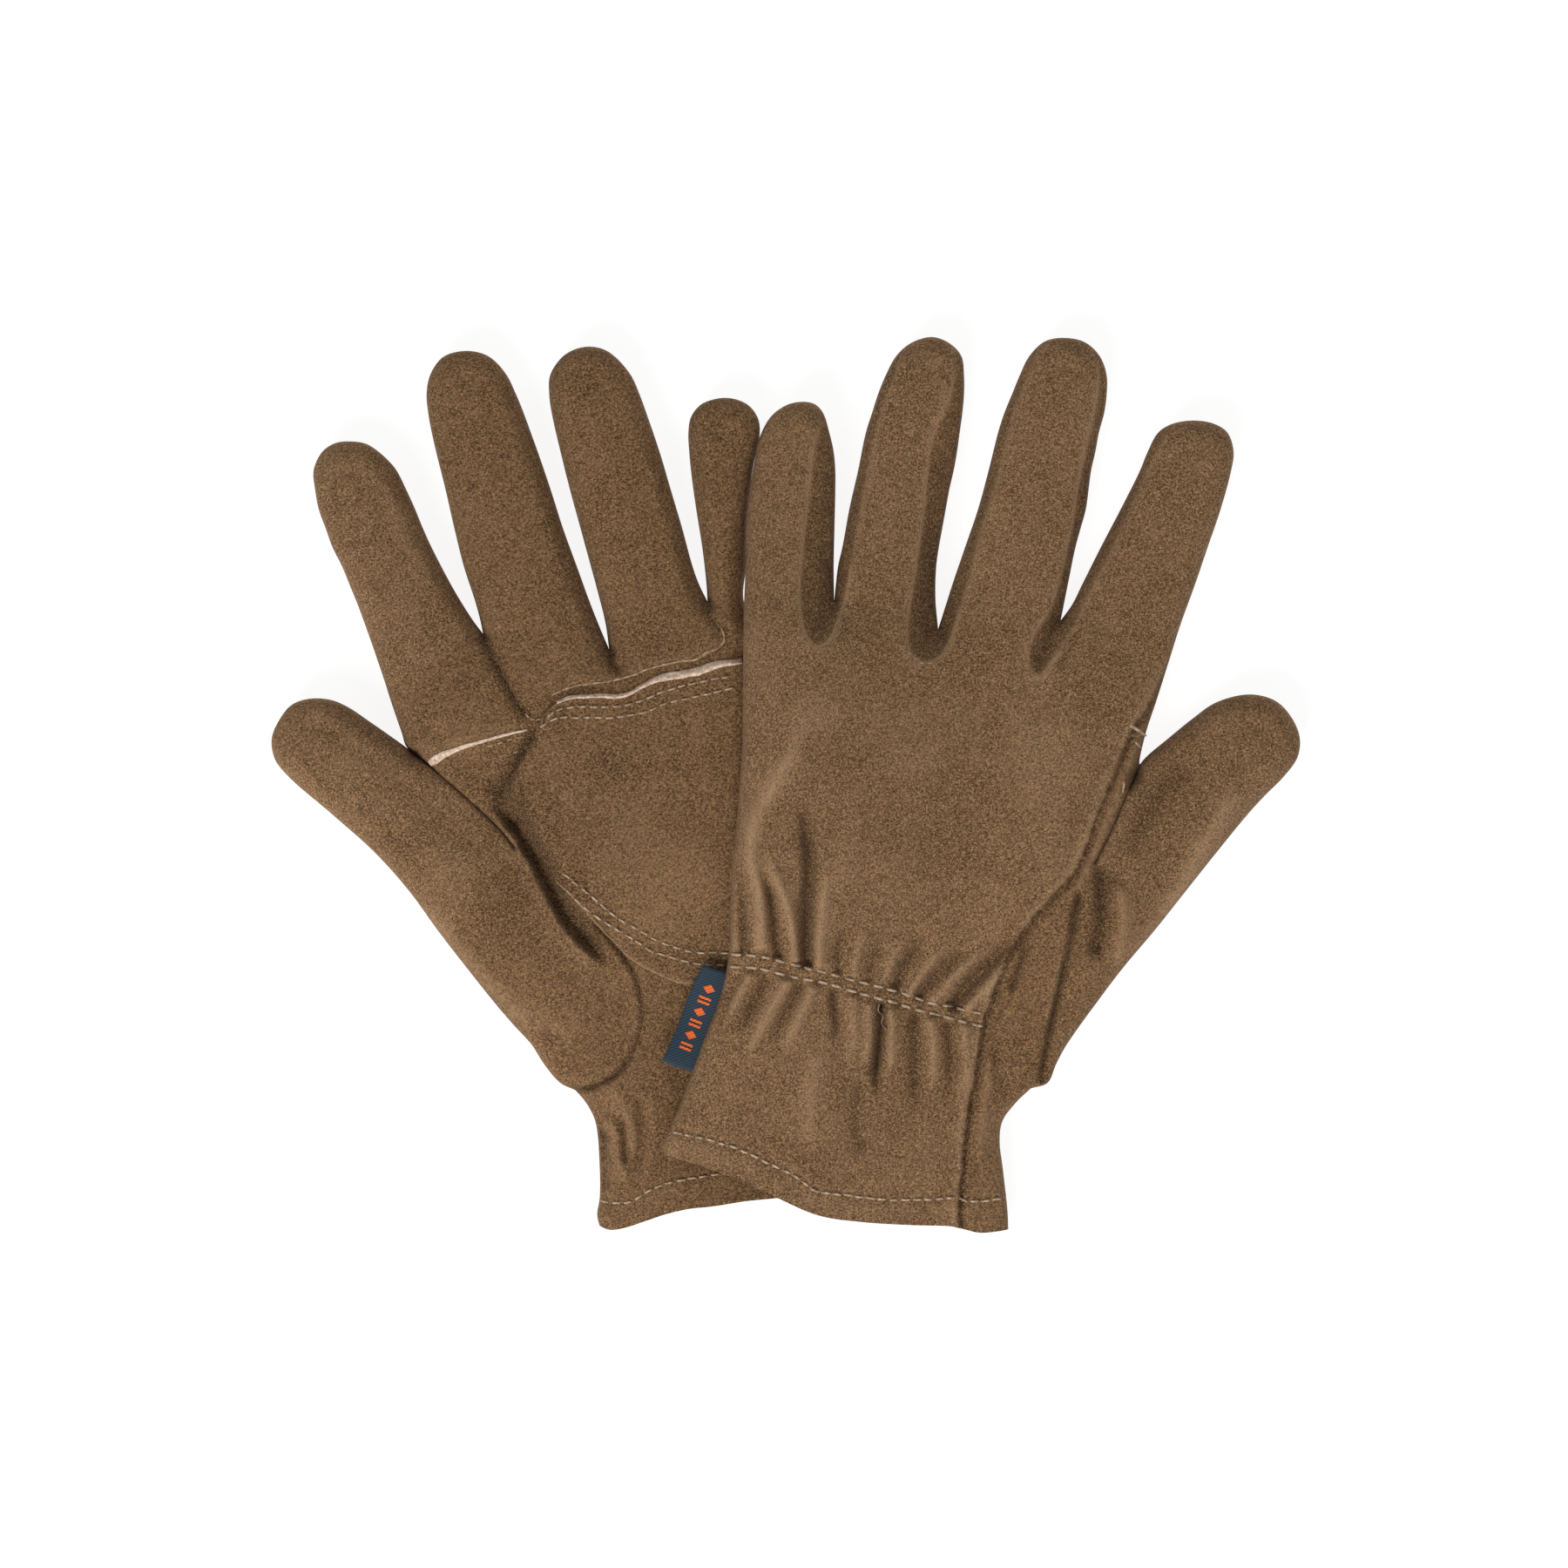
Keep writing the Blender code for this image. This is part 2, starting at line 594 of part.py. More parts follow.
def build_fingers(glove):
    order = list(glove.fingers)
    for i, (key, finger) in enumerate(glove.fingers.items()):
        name = f"{glove.name}_{key}"
        hinge = pivot(f"{name}_axis", finger.above(0, FINGER_AXIS_RISE))
        inside = finger.middle(0.5)
        # the pair's outer fingers have no strip on their outer side
        plus_x_edge = STRIP_EDGE if i < len(order) - 1 else SIDE_SEAM
        minus_x_edge = STRIP_EDGE if i > 0 else SIDE_SEAM
        build_halves(
            finger, name, FINGER_START, plus_x_edge, math.pi - minus_x_edge, 5, inside, hinge
        )
        for neighbour, side_angle in ((i - 1, math.pi), (i + 1, 0.0)):
            if 0 <= neighbour < len(order):
                strip = f"{name}_side_by_{order[neighbour]}"
                build_side_strip(finger, strip, side_angle, inside, hinge)


def build_thumb(glove):
    thumb, name = glove.thumb, f"{glove.name}_thumb"
    hinge = pivot(f"{name}_axis", thumb.above(THUMB_AXIS, THUMB_AXIS_RISE))
    build_halves(
        thumb, name, THUMB_AXIS + THUMB_GAP, SIDE_SEAM, math.pi - SIDE_SEAM, 7,
        thumb.middle(0.7), hinge,
    )
    # the base is open on the side where it is sewn to the hand
    hand_angle = 0.0 if glove.side < 0 else math.pi

    def base_surface(a, b):
        angle = hand_angle + THUMB_BASE_OPEN + 2 * (math.pi - THUMB_BASE_OPEN) * a
        return thumb.inner_point((THUMB_AXIS - THUMB_GAP) * b, angle)

    panel(f"{name}_base", (14, 5), base_surface, thumb.middle(0.2))


def build_label():
    """The woven label, which stands out towards -X from the upper glove's side seam."""
    seam_start, seam_end = LABEL_SEAM
    direction = (seam_end - seam_start) / np.linalg.norm(seam_end - seam_start)
    outward = np.array([direction[1], -direction[0]])
    seam_middle = (seam_start + seam_end) / 2
    centre = seam_middle + outward * (LABEL_WIDTH / 2 + LABEL_OUT)
    hinge = pivot("upper_label_axis", (*(seam_middle + outward * LABEL_AXIS_OUT), LABEL_NEAR_Z))
    bpy.ops.mesh.primitive_cube_add(size=1)
    label = bpy.context.active_object
    for vertex in label.data.vertices:
        x, y, z = vertex.co
        # minus keeps the faces outwards, since the label's frame is mirrored
        plan = centre - direction * x * LABEL_LENGTH + outward * y * LABEL_WIDTH
        height = LABEL_NEAR_Z + (LABEL_FAR_Z - LABEL_NEAR_Z) * (y + 0.5) + z * LABEL_T
        vertex.co = (Vector((*plan, height)) - hinge.location / MM) * MM
    label.data.update()
    place(label, "upper_woven_label", LABEL, hinge)


# ---- the pair --------------------------------------------------------------
for pair_glove in (Glove("lower", LOWER, -1), Glove("upper", UPPER, +1)):
    build_hand_panels(pair_glove)
    build_patch(pair_glove)
    build_elastic(pair_glove)
    build_hand_threads(pair_glove)
    build_fingers(pair_glove)
    build_thumb(pair_glove)
build_label()

# pieces on an axis move with it
for ob in parts.objects:
    if ob.parent is None:
        ob.location += Vector(ORIGIN_SHIFT) * MM
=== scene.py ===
import json
import math

import bmesh
import bpy
import numpy as np
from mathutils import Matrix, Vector, kdtree, noise
from mathutils.bvhtree import BVHTree
from mathutils.geometry import delaunay_2d_cdt


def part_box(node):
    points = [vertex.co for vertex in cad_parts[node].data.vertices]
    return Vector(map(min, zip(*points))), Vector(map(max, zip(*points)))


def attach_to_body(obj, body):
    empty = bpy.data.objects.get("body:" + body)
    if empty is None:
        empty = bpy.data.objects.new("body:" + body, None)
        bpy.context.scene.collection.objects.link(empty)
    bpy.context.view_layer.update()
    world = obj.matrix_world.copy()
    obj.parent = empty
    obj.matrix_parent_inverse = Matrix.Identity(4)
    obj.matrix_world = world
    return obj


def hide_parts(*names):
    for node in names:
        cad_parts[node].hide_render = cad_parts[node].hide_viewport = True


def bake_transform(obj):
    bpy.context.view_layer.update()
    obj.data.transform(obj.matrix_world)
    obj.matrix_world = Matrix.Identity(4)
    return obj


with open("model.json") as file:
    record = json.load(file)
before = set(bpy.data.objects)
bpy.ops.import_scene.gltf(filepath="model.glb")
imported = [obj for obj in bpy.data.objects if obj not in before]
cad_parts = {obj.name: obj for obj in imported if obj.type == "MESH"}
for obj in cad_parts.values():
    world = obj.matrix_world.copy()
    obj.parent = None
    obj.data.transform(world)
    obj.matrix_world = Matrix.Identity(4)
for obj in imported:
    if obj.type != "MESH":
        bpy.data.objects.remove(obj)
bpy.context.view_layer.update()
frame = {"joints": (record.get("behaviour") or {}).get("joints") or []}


MM = 0.001
LEATHER = 1.5                         # thickness of the gloves' leather, mm
GRID = 1.55         # spacing of the points inside a plan, mm
EDGE_STEP = 1.2     # spacing along outlines and seams, mm
PLAN_ORIGIN = np.array([0.445, -0.76])    # where the plan's origin lies in the frame, mm


# ---- curves and fields ------------------------------------------------------
def path(text):
    """Plan points written as "x,y x,y ..." in mm, moved into the frame."""
    return np.array(text.replace(",", " ").split(), float).reshape(-1, 2) + PLAN_ORIGIN


def smooth(x):
    x = np.clip(x, 0.0, 1.0)
    return x * x * (3 - 2 * x)


def bell(x, width):
    return np.exp(-((x / width) ** 2))


def lengths(line):
    """Distance along the line at each of its points."""
    return np.concatenate([[0], np.cumsum(np.linalg.norm(np.diff(line, axis=0), axis=1))])


def between(a, b, start, end, t):
    return (end - t) / (end - start) * a + (t - start) / (end - start) * b


def spline(points, step):
    """A centripetal Catmull-Rom curve through the points, resampled evenly. Ends are kept."""
    if len(points) < 3:
        span = points[-1] - points[0]
        count = max(1, int(round(np.linalg.norm(span) / step)))
        return points[0] + span * np.linspace(0, 1, count + 1)[:, None]
    padded = np.vstack([2 * points[0] - points[1], points, 2 * points[-1] - points[-2]])
    fine = []
    for i in range(1, len(padded) - 2):
        four = padded[i - 1:i + 3]
        knots = [0.0]
        for a, b in zip(four, four[1:]):
            knots.append(knots[-1] + max(np.linalg.norm(b - a), 1e-6) ** 0.5)
        for t in np.linspace(knots[1], knots[2], 12, endpoint=False):
            legs = [between(four[j], four[j + 1], knots[j], knots[j + 1], t) for j in range(3)]
            arcs = [between(legs[j], legs[j + 1], knots[j], knots[j + 2], t) for j in range(2)]
            fine.append(between(*arcs, knots[1], knots[2], t))
    fine.append(points[-1])
    fine = np.array(fine)
    dist = lengths(fine)
    even = np.linspace(0, dist[-1], max(2, int(round(dist[-1] / step))) + 1)
    return np.column_stack([np.interp(even, dist, fine[:, k]) for k in range(2)])


def left_normals(line, tiny=0.0):
    """Unit vectors to the left of the line's direction."""
    run = np.gradient(line, axis=0)
    run /= np.linalg.norm(run, axis=1)[:, None] + tiny
    return np.column_stack([-run[:, 1], run[:, 0]])


def line_field(points, line):
    """Distance, share of the length and side (+1 left of the line's direction) of each point."""
    legs = np.diff(line, axis=0)
    size = np.linalg.norm(legs, axis=1)
    before = np.concatenate([[0], np.cumsum(size)])
    best = np.full(len(points), 1e9)
    share = np.zeros(len(points))
    side = np.zeros(len(points))
    for i, leg in enumerate(legs):
        if size[i] < 1e-9:
            continue
        rel = points - line[i]
        t = np.clip((rel @ leg) / size[i] ** 2, 0, 1)
        off = rel - t[:, None] * leg
        dist = np.hypot(off[:, 0], off[:, 1])
        closer = dist < best
        best[closer] = dist[closer]
        share[closer] = (before[i] + t[closer] * size[i]) / before[-1]
        side[closer] = np.sign(leg[0] * rel[closer, 1] - leg[1] * rel[closer, 0])
    return best, share, side


def curve_field(points, line):
    return line_field(points, spline(line, 2.0))


def waves(points, seed, scale, octaves=3):
    """Smooth random relief between about -1 and 1."""
    shift = Vector((seed * 17.3, seed * 5.1, seed * 3.7))
    return np.array([noise.fractal(Vector((x / scale, y / scale, 0.0)) + shift,
                                   1.0, 2.0, octaves) for x, y in points])


def stroke(points, line, width, amount, fade_in=0.15, fade_out=0.15):
    """A ridge, or with a negative amount a groove, along the line; fades are shares of it."""
    dist, share, _ = curve_field(points, line)
    taper = np.ones(len(points))
    if fade_in > 0:
        taper *= smooth(share / fade_in)
    if fade_out > 0:
        taper *= smooth((1 - share) / fade_out)
    return amount * taper * np.exp(-((dist / width) ** (1.45 if amount > 0 else 1.8)))


def strokes(points, rows, wide=1.0, deep=1.0):
    """Sum of strokes. A row: plan line, width, amount, and fades where not the default."""
    return sum(stroke(points, path(line), width * wide, amount * deep, *fades)
               for line, width, amount, *fades in rows)


def dents(points, rows):
    """Round hollows and rises. A row: plan place, radius, amount, in mm."""
    return sum(amount * bell(np.hypot(*(points - path(place)[0]).T), radius)
               for place, radius, amount in rows)


# ---- the surface that keeps the two gloves apart -----------------------------
SPLIT_END = {"upper": 52.0, "lower": 200.0}    # plan y where the surface comes down, mm


def split_height(points, glove):
    """Height of the surface between the gloves; it falls away on the +X side."""
    x, y = (points - PLAN_ORIGIN).T
    stations = [-130, -105, -80, -50, -20, 20, 50, 60]
    left = np.interp(y, stations, [-40, -34, -25, -14.5, -13.5, -12.8, -11.9, -11.5])
    right = np.interp(y, stations, [40, 36, 27, 16, 12, 9, -4, -6])
    high = np.interp(y, stations, [14, 14.5, 17, 20.5, 22, 21, 18, 17])
    t = np.clip((x - left) / (right - left), 0, 1)
    height = 9.0 + (high - 9.0) * (1 - t)
    return height * (1 - smooth((x - right) / 15.0)) * (1 - smooth((y - SPLIT_END[glove]) / 7.0))


def upper_lift(points):
    """How far the upper glove is lifted by the one below it."""
    x, y = (points - PLAN_ORIGIN).T
    stations = [-130, -105, -80, -50, -20, 40, 60, 90, 128]
    left = np.interp(y, stations, [-40, -34, -25, -14.5, -13.5, -12.2, -11.5, -9, 0])
    high = np.interp(y, stations, [12.5, 12.5, 13, 14, 14, 12, 9, 5, 3])
    right = np.interp(y, stations, [62, 62, 60, 60, 66, 60, 54, 46, 46])
    return high * (1 - smooth((x - left) / (right - left)))


# ---- plans of the two gloves --------------------------------------------------
# All points are plan x,y in mm.
# outline: runs between corners, clockwise; the last run is the hem
# seams: lines between pieces; cuts: lines where a digit's leather starts
# seeds: a point in each piece; fine: low and high corners of finely folded areas
# axis: from the hem to the fingertips
# slit: where the thumb's edge lies on the hand, open end first
# digits: axis from root to tip, and half width
PLANS = {
    "upper": dict(
        outline=["""-34.25,-106 -34.75,-103.5 -33.75,-100.5 -30,-92 -26.25,-82 -22.5,-72 -18,-60
    -16.25,-52 -15.5,-44.5 -15.25,-29.75 -14.5,-19.75 -13.25,-7.25 -12,11.25 -11.75,30 -11.5,50
    -11,62.5 -10.75,75 -9.75,85 -8.5,92.5 -7.25,98.75 -5,103.75 -2.75,106.5 1.25,109 5.5,109.75
    9,109 11.25,106.5 13,101 14.25,95.5 14.75,90 14.75,84.5 14.5,73.5 14.25,62.5 14.375,52.5""",
                 """14.375,52.5 15.5,62.5 16.75,68 18.75,79 21.25,90 23.5,101 25.25,106.5 27,112
    29.25,117.5 32.25,123 36.5,126.75 42.5,128.5 47.5,126.75 51,123 51.75,117.5 51.75,112
    51.25,106.5 50.5,101 49.75,95.5 48.75,90 47.5,84.5 46.5,79 45.5,73.5 44.5,68 43.75,62.5
    43.5,53.5 44.25,44.5""",
                 """44.25,44.5 46.5,51.5 48.25,57 52,68 55.75,79 58.75,90 61.5,101 63.25,106.5
    65.5,112 67.75,117.5 70.5,123 75,127.25 80.5,128.25 86.5,127 90.75,123 92.75,117.5 92.75,112
    92,106.5 90.5,101 89.5,95.5 88.25,90 86.75,79 85.25,73.5 83.75,68 81.5,57 79.5,47""",
                 """79.5,47 82.75,51.5 85.5,57 91,68 96.75,79 102.25,90 104.5,95.5 107.5,101
    111.5,103.5 118,104.5 123.75,103.5 127.5,101 129.25,95.5 128.5,90 125.5,79 121.75,68 118,57
    114,46 110.5,35 107,24 104,15 102.125,7 101.97,5.275 97.97,-3.7325 93.47,-14.2325
    89.25,-22.5""",
                 """89.25,-22.5 93.5,-14.25 98,-3.75 102,5.25 104,7.75 110.25,13 117,18.5
    124.25,23.5 134,25.75 141.5,23.75 146.25,18.5 148.25,13 147.5,7.5 143.5,2 138,-3.5 133,-9
    124,-20 115.25,-31 106.5,-42 97.25,-53 89,-64 85,-69.5 80.75,-75.75 78.25,-80.5 75.75,-86
    71,-87.5""",
                 "71,-87.5 66.75,-91.5 62.75,-97 62,-102.5 63,-111.25 64.25,-122.5 64.5,-128",
                 """64.5,-128 60.75,-128.5 55.75,-128.75 49,-127 37,-126.5 22.25,-125.5
    9.75,-123.5 -2.75,-118 -11.5,-113.75 -21.25,-110 -34.25,-106"""],
        seams=dict(
            strip_little_ring="""10.25,108 10.75,103.5 9,97.75 6.75,80.25 5,62.75 4.5,50.5 6,43
    9,39.25 12.5,40.75 15.5,47 17.75,55 19.5,65 21.5,76 23.75,87.5 26,99 28.5,108.5 31.5,116.5
    34,124.5""",
            strip_ring_middle="""49.25,125.25 49,117.5 47,109.5 44.25,103.5 42,96.5 40.25,80.25
    37.75,61.5 36,50.5 35.25,43 36.25,37.5 40,34.75 44.5,36.25 47.25,40.5 52,55.5 57,74 60.5,85
    63.25,96.5 66,106.5 69.5,115 72.5,125""",
            strip_middle_index="""89,125.25 90.25,117.5 89.75,111.25 88,102.75 85,89 82.5,74
    79.5,60.25 76.25,50 72.5,44.5 70,38 70.75,33 73,31 76.5,34.5 82,43 88,55.5 95.5,70.25
    101.75,84 106.75,95.25 110,102.75""",
            back_edge="""113,43 109.5,33 104.5,22.5 100,15.5 95,3.75 90,-8.75 83.75,-24.25
    73,-36.25 65,-48 58.75,-63.75 56.75,-70 55.5,-80 52.5,-96.25 50.5,-117.5 50,-127""",
            thumb_base="89.25,-22.5 85,-30.5 83,-35 80,-47.5 77.5,-67.5 75,-76.25 71,-87.5"),
        cuts=dict(little="-11.5,50 14.375,52.5", ring="14.375,52.5 44.25,44.5",
                  middle="44.25,44.5 79.5,47", index="79.5,47 109.25,31.25",
                  thumb="89.25,-22.5 109.5,-38.25"),
        seeds=dict(hand="25,-25", strip="60,-82.5", thumb_base="90,-45", thumb="125,0",
                   little="-1.25,80", ring="32.5,85", middle="72.5,85", index="112.5,75",
                   little_by_ring="11.25,80", ring_by_little="19.25,75",
                   ring_by_middle="44.5,85", middle_by_ring="54,70",
                   middle_by_index="84.5,75", index_by_middle="96.75,76.5"),
        fine=["-16,-90 22.5,-7.5", "22.5,-92.5 72.5,-37.5", "74,-82.5 100,-17.5"],
        axis="15,-117.5 76.25,115",
        slit="102,5.25 98,-3.75 93.5,-14.25 89.25,-22.5",
        digits=dict(little=("1.75,50.5 5.5,109.75", 13.0), ring=("29.25,48 42.5,128.5", 15.5),
                    middle=("62,45 80.5,128.25", 16.0), index=("94.5,38.5 118,104.5", 15.5),
                    thumb=("99,-30 140.5,19.5", 16.5))),
    "lower": dict(
        outline=["-53,-127 -53.75,-124 -53,-119 -53,-110 -54.25,-97 -57,-91.5 -60,-88",
                 """-60,-88 -64.25,-86 -69,-80.5 -72.5,-75 -77.5,-69.5 -82.25,-64 -91,-53
    -99.5,-42 -107.5,-31 -117.25,-20 -129.5,-9 -142.25,2 -146.25,7 -147.25,13 -145,18.5
    -141.5,22.75 -136.5,24.5 -130.5,24.25 -125.5,22.25 -118.75,17.75 -113,13.75 -108.5,10.5
    -102,5.5 -95,-0.5 -87,-7.5 -81,-13.5 -77.5,-18""",
                 """-77.5,-18 -80.975,-13.4675 -86.975,-7.4675 -94.975,-0.4675 -101.975,5.5325
    -108.425,10.6 -109.75,14.5 -113,24 -114.75,29.5 -118.5,40.5 -122.5,51.5 -124.75,57
    -127,62.5 -129.75,68 -131.75,73.5 -133.75,79 -134.75,84.5 -135.25,90 -132.75,95.5 -129,98
    -124.75,98.5 -120,97.75 -116.5,95.5 -113.25,92.5 -111.25,90 -108.5,84.5 -106,79
    -103.75,73.5 -101.25,68 -95.5,57 -92.25,51.5 -89,46.5 -86.5,43.25""",
                 """-86.5,43.25 -87.25,47 -88.75,52.5 -92,62.5 -94.75,73.5 -97.25,84.5 -100,95.5
    -101.25,101 -102.25,106.5 -102.75,112 -101.75,117.5 -98,122.75 -91.25,124.5 -85,123 -80,118
    -77,112 -74.75,106.5 -72.75,101 -70.75,95.5 -67,84.5 -63.5,73.5 -59.5,62.5 -55.5,51.5
    -52.5,44 -50.25,38.75""",
                 """-50.25,38.75 -51.25,46 -54,57 -55.5,62.5 -58.5,73.5 -61.5,84.5 -64.25,95.5
    -66.75,106.5 -67.5,112 -67.25,117.5 -63.75,122.75 -60,125 -56,125.75 -52,125 -48.75,123
    -44,117.5 -41.5,112 -39.5,106.5 -35.75,95.5 -32.5,84.5 -29.25,73.5 -26.25,62.5 -24.25,57
    -22,52.5""",
                 """-22,52.5 -22.25,57 -23.5,68 -25.25,79 -26.75,90 -27.25,95.5 -27.5,101
    -26.75,105.5 -24,109 -20.5,110.5 -16.75,111 -12.75,110.25 -9.5,108.25 -7.25,104.5 -7,100
    -8.5,93 -9.7,85.5 -10.65,75 -10.9,62.5 -11.45,52 -1.5,33.75 5,12.75 7,-9.25 9.5,-35.25
    13.5,-56.25 19.5,-71.25 28.5,-90.25 33.5,-110.25""",
                 """33.5,-110.25 25,-114 15,-116.25 -0.75,-118.75 -10.75,-119.75 -20.5,-121.25
    -27.5,-122 -34,-123.5 -40,-125.5 -45.25,-127.25 -50,-128 -53,-127"""],
        seams=dict(
            strip_index_middle="""-117.5,96.25 -113.5,89.75 -110.5,83.5 -105.75,72.75 -97.75,57
    -91.5,47 -87,40.5 -84.75,44.5 -86.75,53 -90,63 -92.75,74 -95.25,85 -98,96 -100.25,106
    -100.5,115 -98.75,122""",
            strip_middle_ring="""-82.25,120.75 -79.25,112 -75,100.5 -69.25,84.5 -61.75,62.5
    -57.75,51.5 -54,42.25 -50.25,36 -48,39.5 -49.5,46.5 -52,57.5 -56.5,73.75 -59.5,84.75
    -62.25,95.75 -64.75,106.5 -65.25,115 -64.25,122.25""",
            strip_ring_little="""-46.25,120.5 -43.5,112 -37.75,95 -34.5,84 -28.25,62.5
    -25.75,55.5 -22.5,49.75 -20.25,53 -21.5,68 -23.25,79 -24.75,90 -25.5,98.75 -25.25,107.5""",
            thumb_base="""-77.5,-18 -74,-21.25 -66,-28 -60,-33.5 -52,-41.75 -46,-49 -42.5,-55
    -40.75,-63 -41,-70 -43.25,-76.5 -48,-83 -53,-86 -60,-88"""),
        cuts=dict(index="-114,27.5 -86.5,43.25", middle="-86.5,43.25 -50.25,38.75",
                  ring="-50.25,38.75 -22,52.5", little="-22,52.5 -11.45,52",
                  thumb="-77.5,-18 -97,-45"),
        seeds=dict(hand="-30,-12.5", thumb_base="-70,-62.5", thumb="-125,5",
                   index="-117.5,70", middle="-82.5,80", ring="-45,75", little="-17.5,75",
                   index_by_middle="-104.5,72.75", middle_by_index="-94,74",
                   middle_by_ring="-65,74.5", ring_by_middle="-57.5,73.5",
                   ring_by_little="-30.25,72.5", little_by_ring="-23,72.5"),
        fine=["-56,-119 -34,-84", "-85,-55 -38.75,0", "-70,-85 -38.75,-55"],
        axis="-7,-118 -85,115",
        slit="-108.5,10.5 -102,5.5 -95,-0.5 -87,-7.5 -81,-13.5 -77.5,-18",
        digits=dict(index=("-100,35 -126,98.25", 15.5), middle=("-68.25,40.75 -91.25,124.5", 16.0),
                    ring=("-36,45 -56,125.75", 15.5), little=("-17.5,52.25 -17.5,110.75", 9.5),
                    thumb=("-87.5,-31 -141,19.5", 16.5))),
}

# Rows of stitches, edges and hems shared by the relief and the threads
ELASTIC_TOP_ROW = path("""-15.25,-48.5 -6.5,-49.25 2.25,-51.5 12.25,-54 22.25,-56.75
    33.25,-59.75 39.5,-62 49.5,-64.25 57.5,-66""")
ELASTIC_LOW_ROW = path("""-15.5,-52.25 -6.5,-52.75 1,-54.75 11,-56.75 18.5,-59 28.5,-61.75
    37,-64.25 47,-67 57,-69.5""")
ELASTIC_LOW_EDGE = path("""-15.25,-52.25 -6.5,-52.75 2.25,-55 12.25,-57.25 22.25,-60
    33.25,-63.25 39.5,-65 49.5,-67.5 57.5,-69.75""")
UPPER_HEM = path("""-32,-99.5 -21.25,-101.75 -11.5,-105 -2.75,-109.25 3.5,-112.5 8.75,-116.25
    16,-117.5 28.5,-119 40,-119.25 49.5,-118.75 53,-119.75 63.75,-119""")
LOWER_HEM = path("""-53,-119.75 -48.5,-120.25 -44,-119.75 -39,-116.75 -33,-114.25 -24,-112.75
    -15,-111.5 -5,-110 10,-107.5 27.5,-102""")
FINGER_SEAM = path("""-66.5,25.5 -60,28 -50,29.5 -44,31 -37,33.5 -30,35 -25,35.75 -22,37.75
    -19,39 -17,41.5 -18,45""")
PATCH_TOP = path("""-64.75,23.5 -60,25 -52,25.25 -46,25.5 -41,28 -37,30 -30,31.25 -24,32.5
    -19,34.5 -12.5,35""")
PATCH_BOTTOM = path("""-65.5,-27.5 -62.5,-30.5 -58,-35 -50,-44 -44,-50 -39,-53 -34,-55.25
    -29.5,-57 -25,-57 -12.5,-57""")


# ---- triangulated plans -------------------------------------------------------
def flat_tree(points):
    """A search tree of plan points."""
    tree = kdtree.KDTree(len(points))
    for i, point in enumerate(points):
        tree.insert((point[0], point[1], 0), i)
    tree.balance()
    return tree


def tree_distance(tree, points):
    return np.array([tree.find((x, y, 0))[2] for x, y in points])


def inside_loop(points, loop):
    x, y = points[:, 0], points[:, 1]
    inside = np.zeros(len(points), bool)
    for (x1, y1), (x2, y2) in zip(loop, np.roll(loop, -1, axis=0)):
        spans = (y1 > y) != (y2 > y)
        crossing = (x2 - x1) * (y - y1) / (y2 - y1 + 1e-12) + x1
        inside ^= spans & (x < crossing)
    return inside


def clear_inside(points, loop, tree, gap):
    """The points that lie inside the loop and more than the gap from the tree's points."""
    points = points[inside_loop(points, loop)]
    return points[tree_distance(tree, points) > gap]


def lattice(low, high, step):
    """Rows of points, every other row moved by half a step."""
    y, row = low[1], 0
    while y < high[1]:
        x = low[0] + (row % 2) * step / 2
        while x < high[0]:
            yield x, y
            x += step
        y += step * 0.866
        row += 1


def doubled_area(plan, tris):
    a, b, c = (plan[tris[:, k]] for k in range(3))
    return (b[:, 0] - a[:, 0]) * (c[:, 1] - a[:, 1]) - (b[:, 1] - a[:, 1]) * (c[:, 0] - a[:, 0])


def triangulate(fixed, extra, edges, loop):
    """Anticlockwise triangles inside the loop, and where points and edges came from."""
    points = [Vector(p) for p in fixed] + [Vector(p) for p in extra]
    made = delaunay_2d_cdt(points, edges, [], 1, 1e-5)
    out_points, out_edges, out_tris, point_source, edge_source, _ = made
    plan = np.array([(p[0], p[1]) for p in out_points])
    tris = np.array(list(out_tris), int)
    turned = doubled_area(plan, tris) < 0
    tris[turned] = tris[turned][:, ::-1]
    tris = tris[inside_loop(plan[tris].mean(1), loop)]
    return plan, tris, point_source, out_edges, edge_source


class Scatter:
    """Points kept apart from one another, found through square cells."""
    CELL = 2

    def __init__(self, points):
        self.chosen = []
        self.cells = {}
        for point in points:
            self.store(point)

    def cell(self, point):
        return tuple(int(math.floor(v / self.CELL)) for v in point)

    def store(self, point):
        self.cells.setdefault(self.cell(point), []).append(point)

    def take(self, point, gap):
        column, row = self.cell(point)
        reach = int(math.ceil(gap / self.CELL))
        for i in range(column - reach, column + reach + 1):
            for j in range(row - reach, row + reach + 1):
                for x, y in self.cells.get((i, j), ()):
                    if (x - point[0]) ** 2 + (y - point[1]) ** 2 < gap * gap:
                        return
        self.chosen.append((float(point[0]), float(point[1])))
        self.store(point)


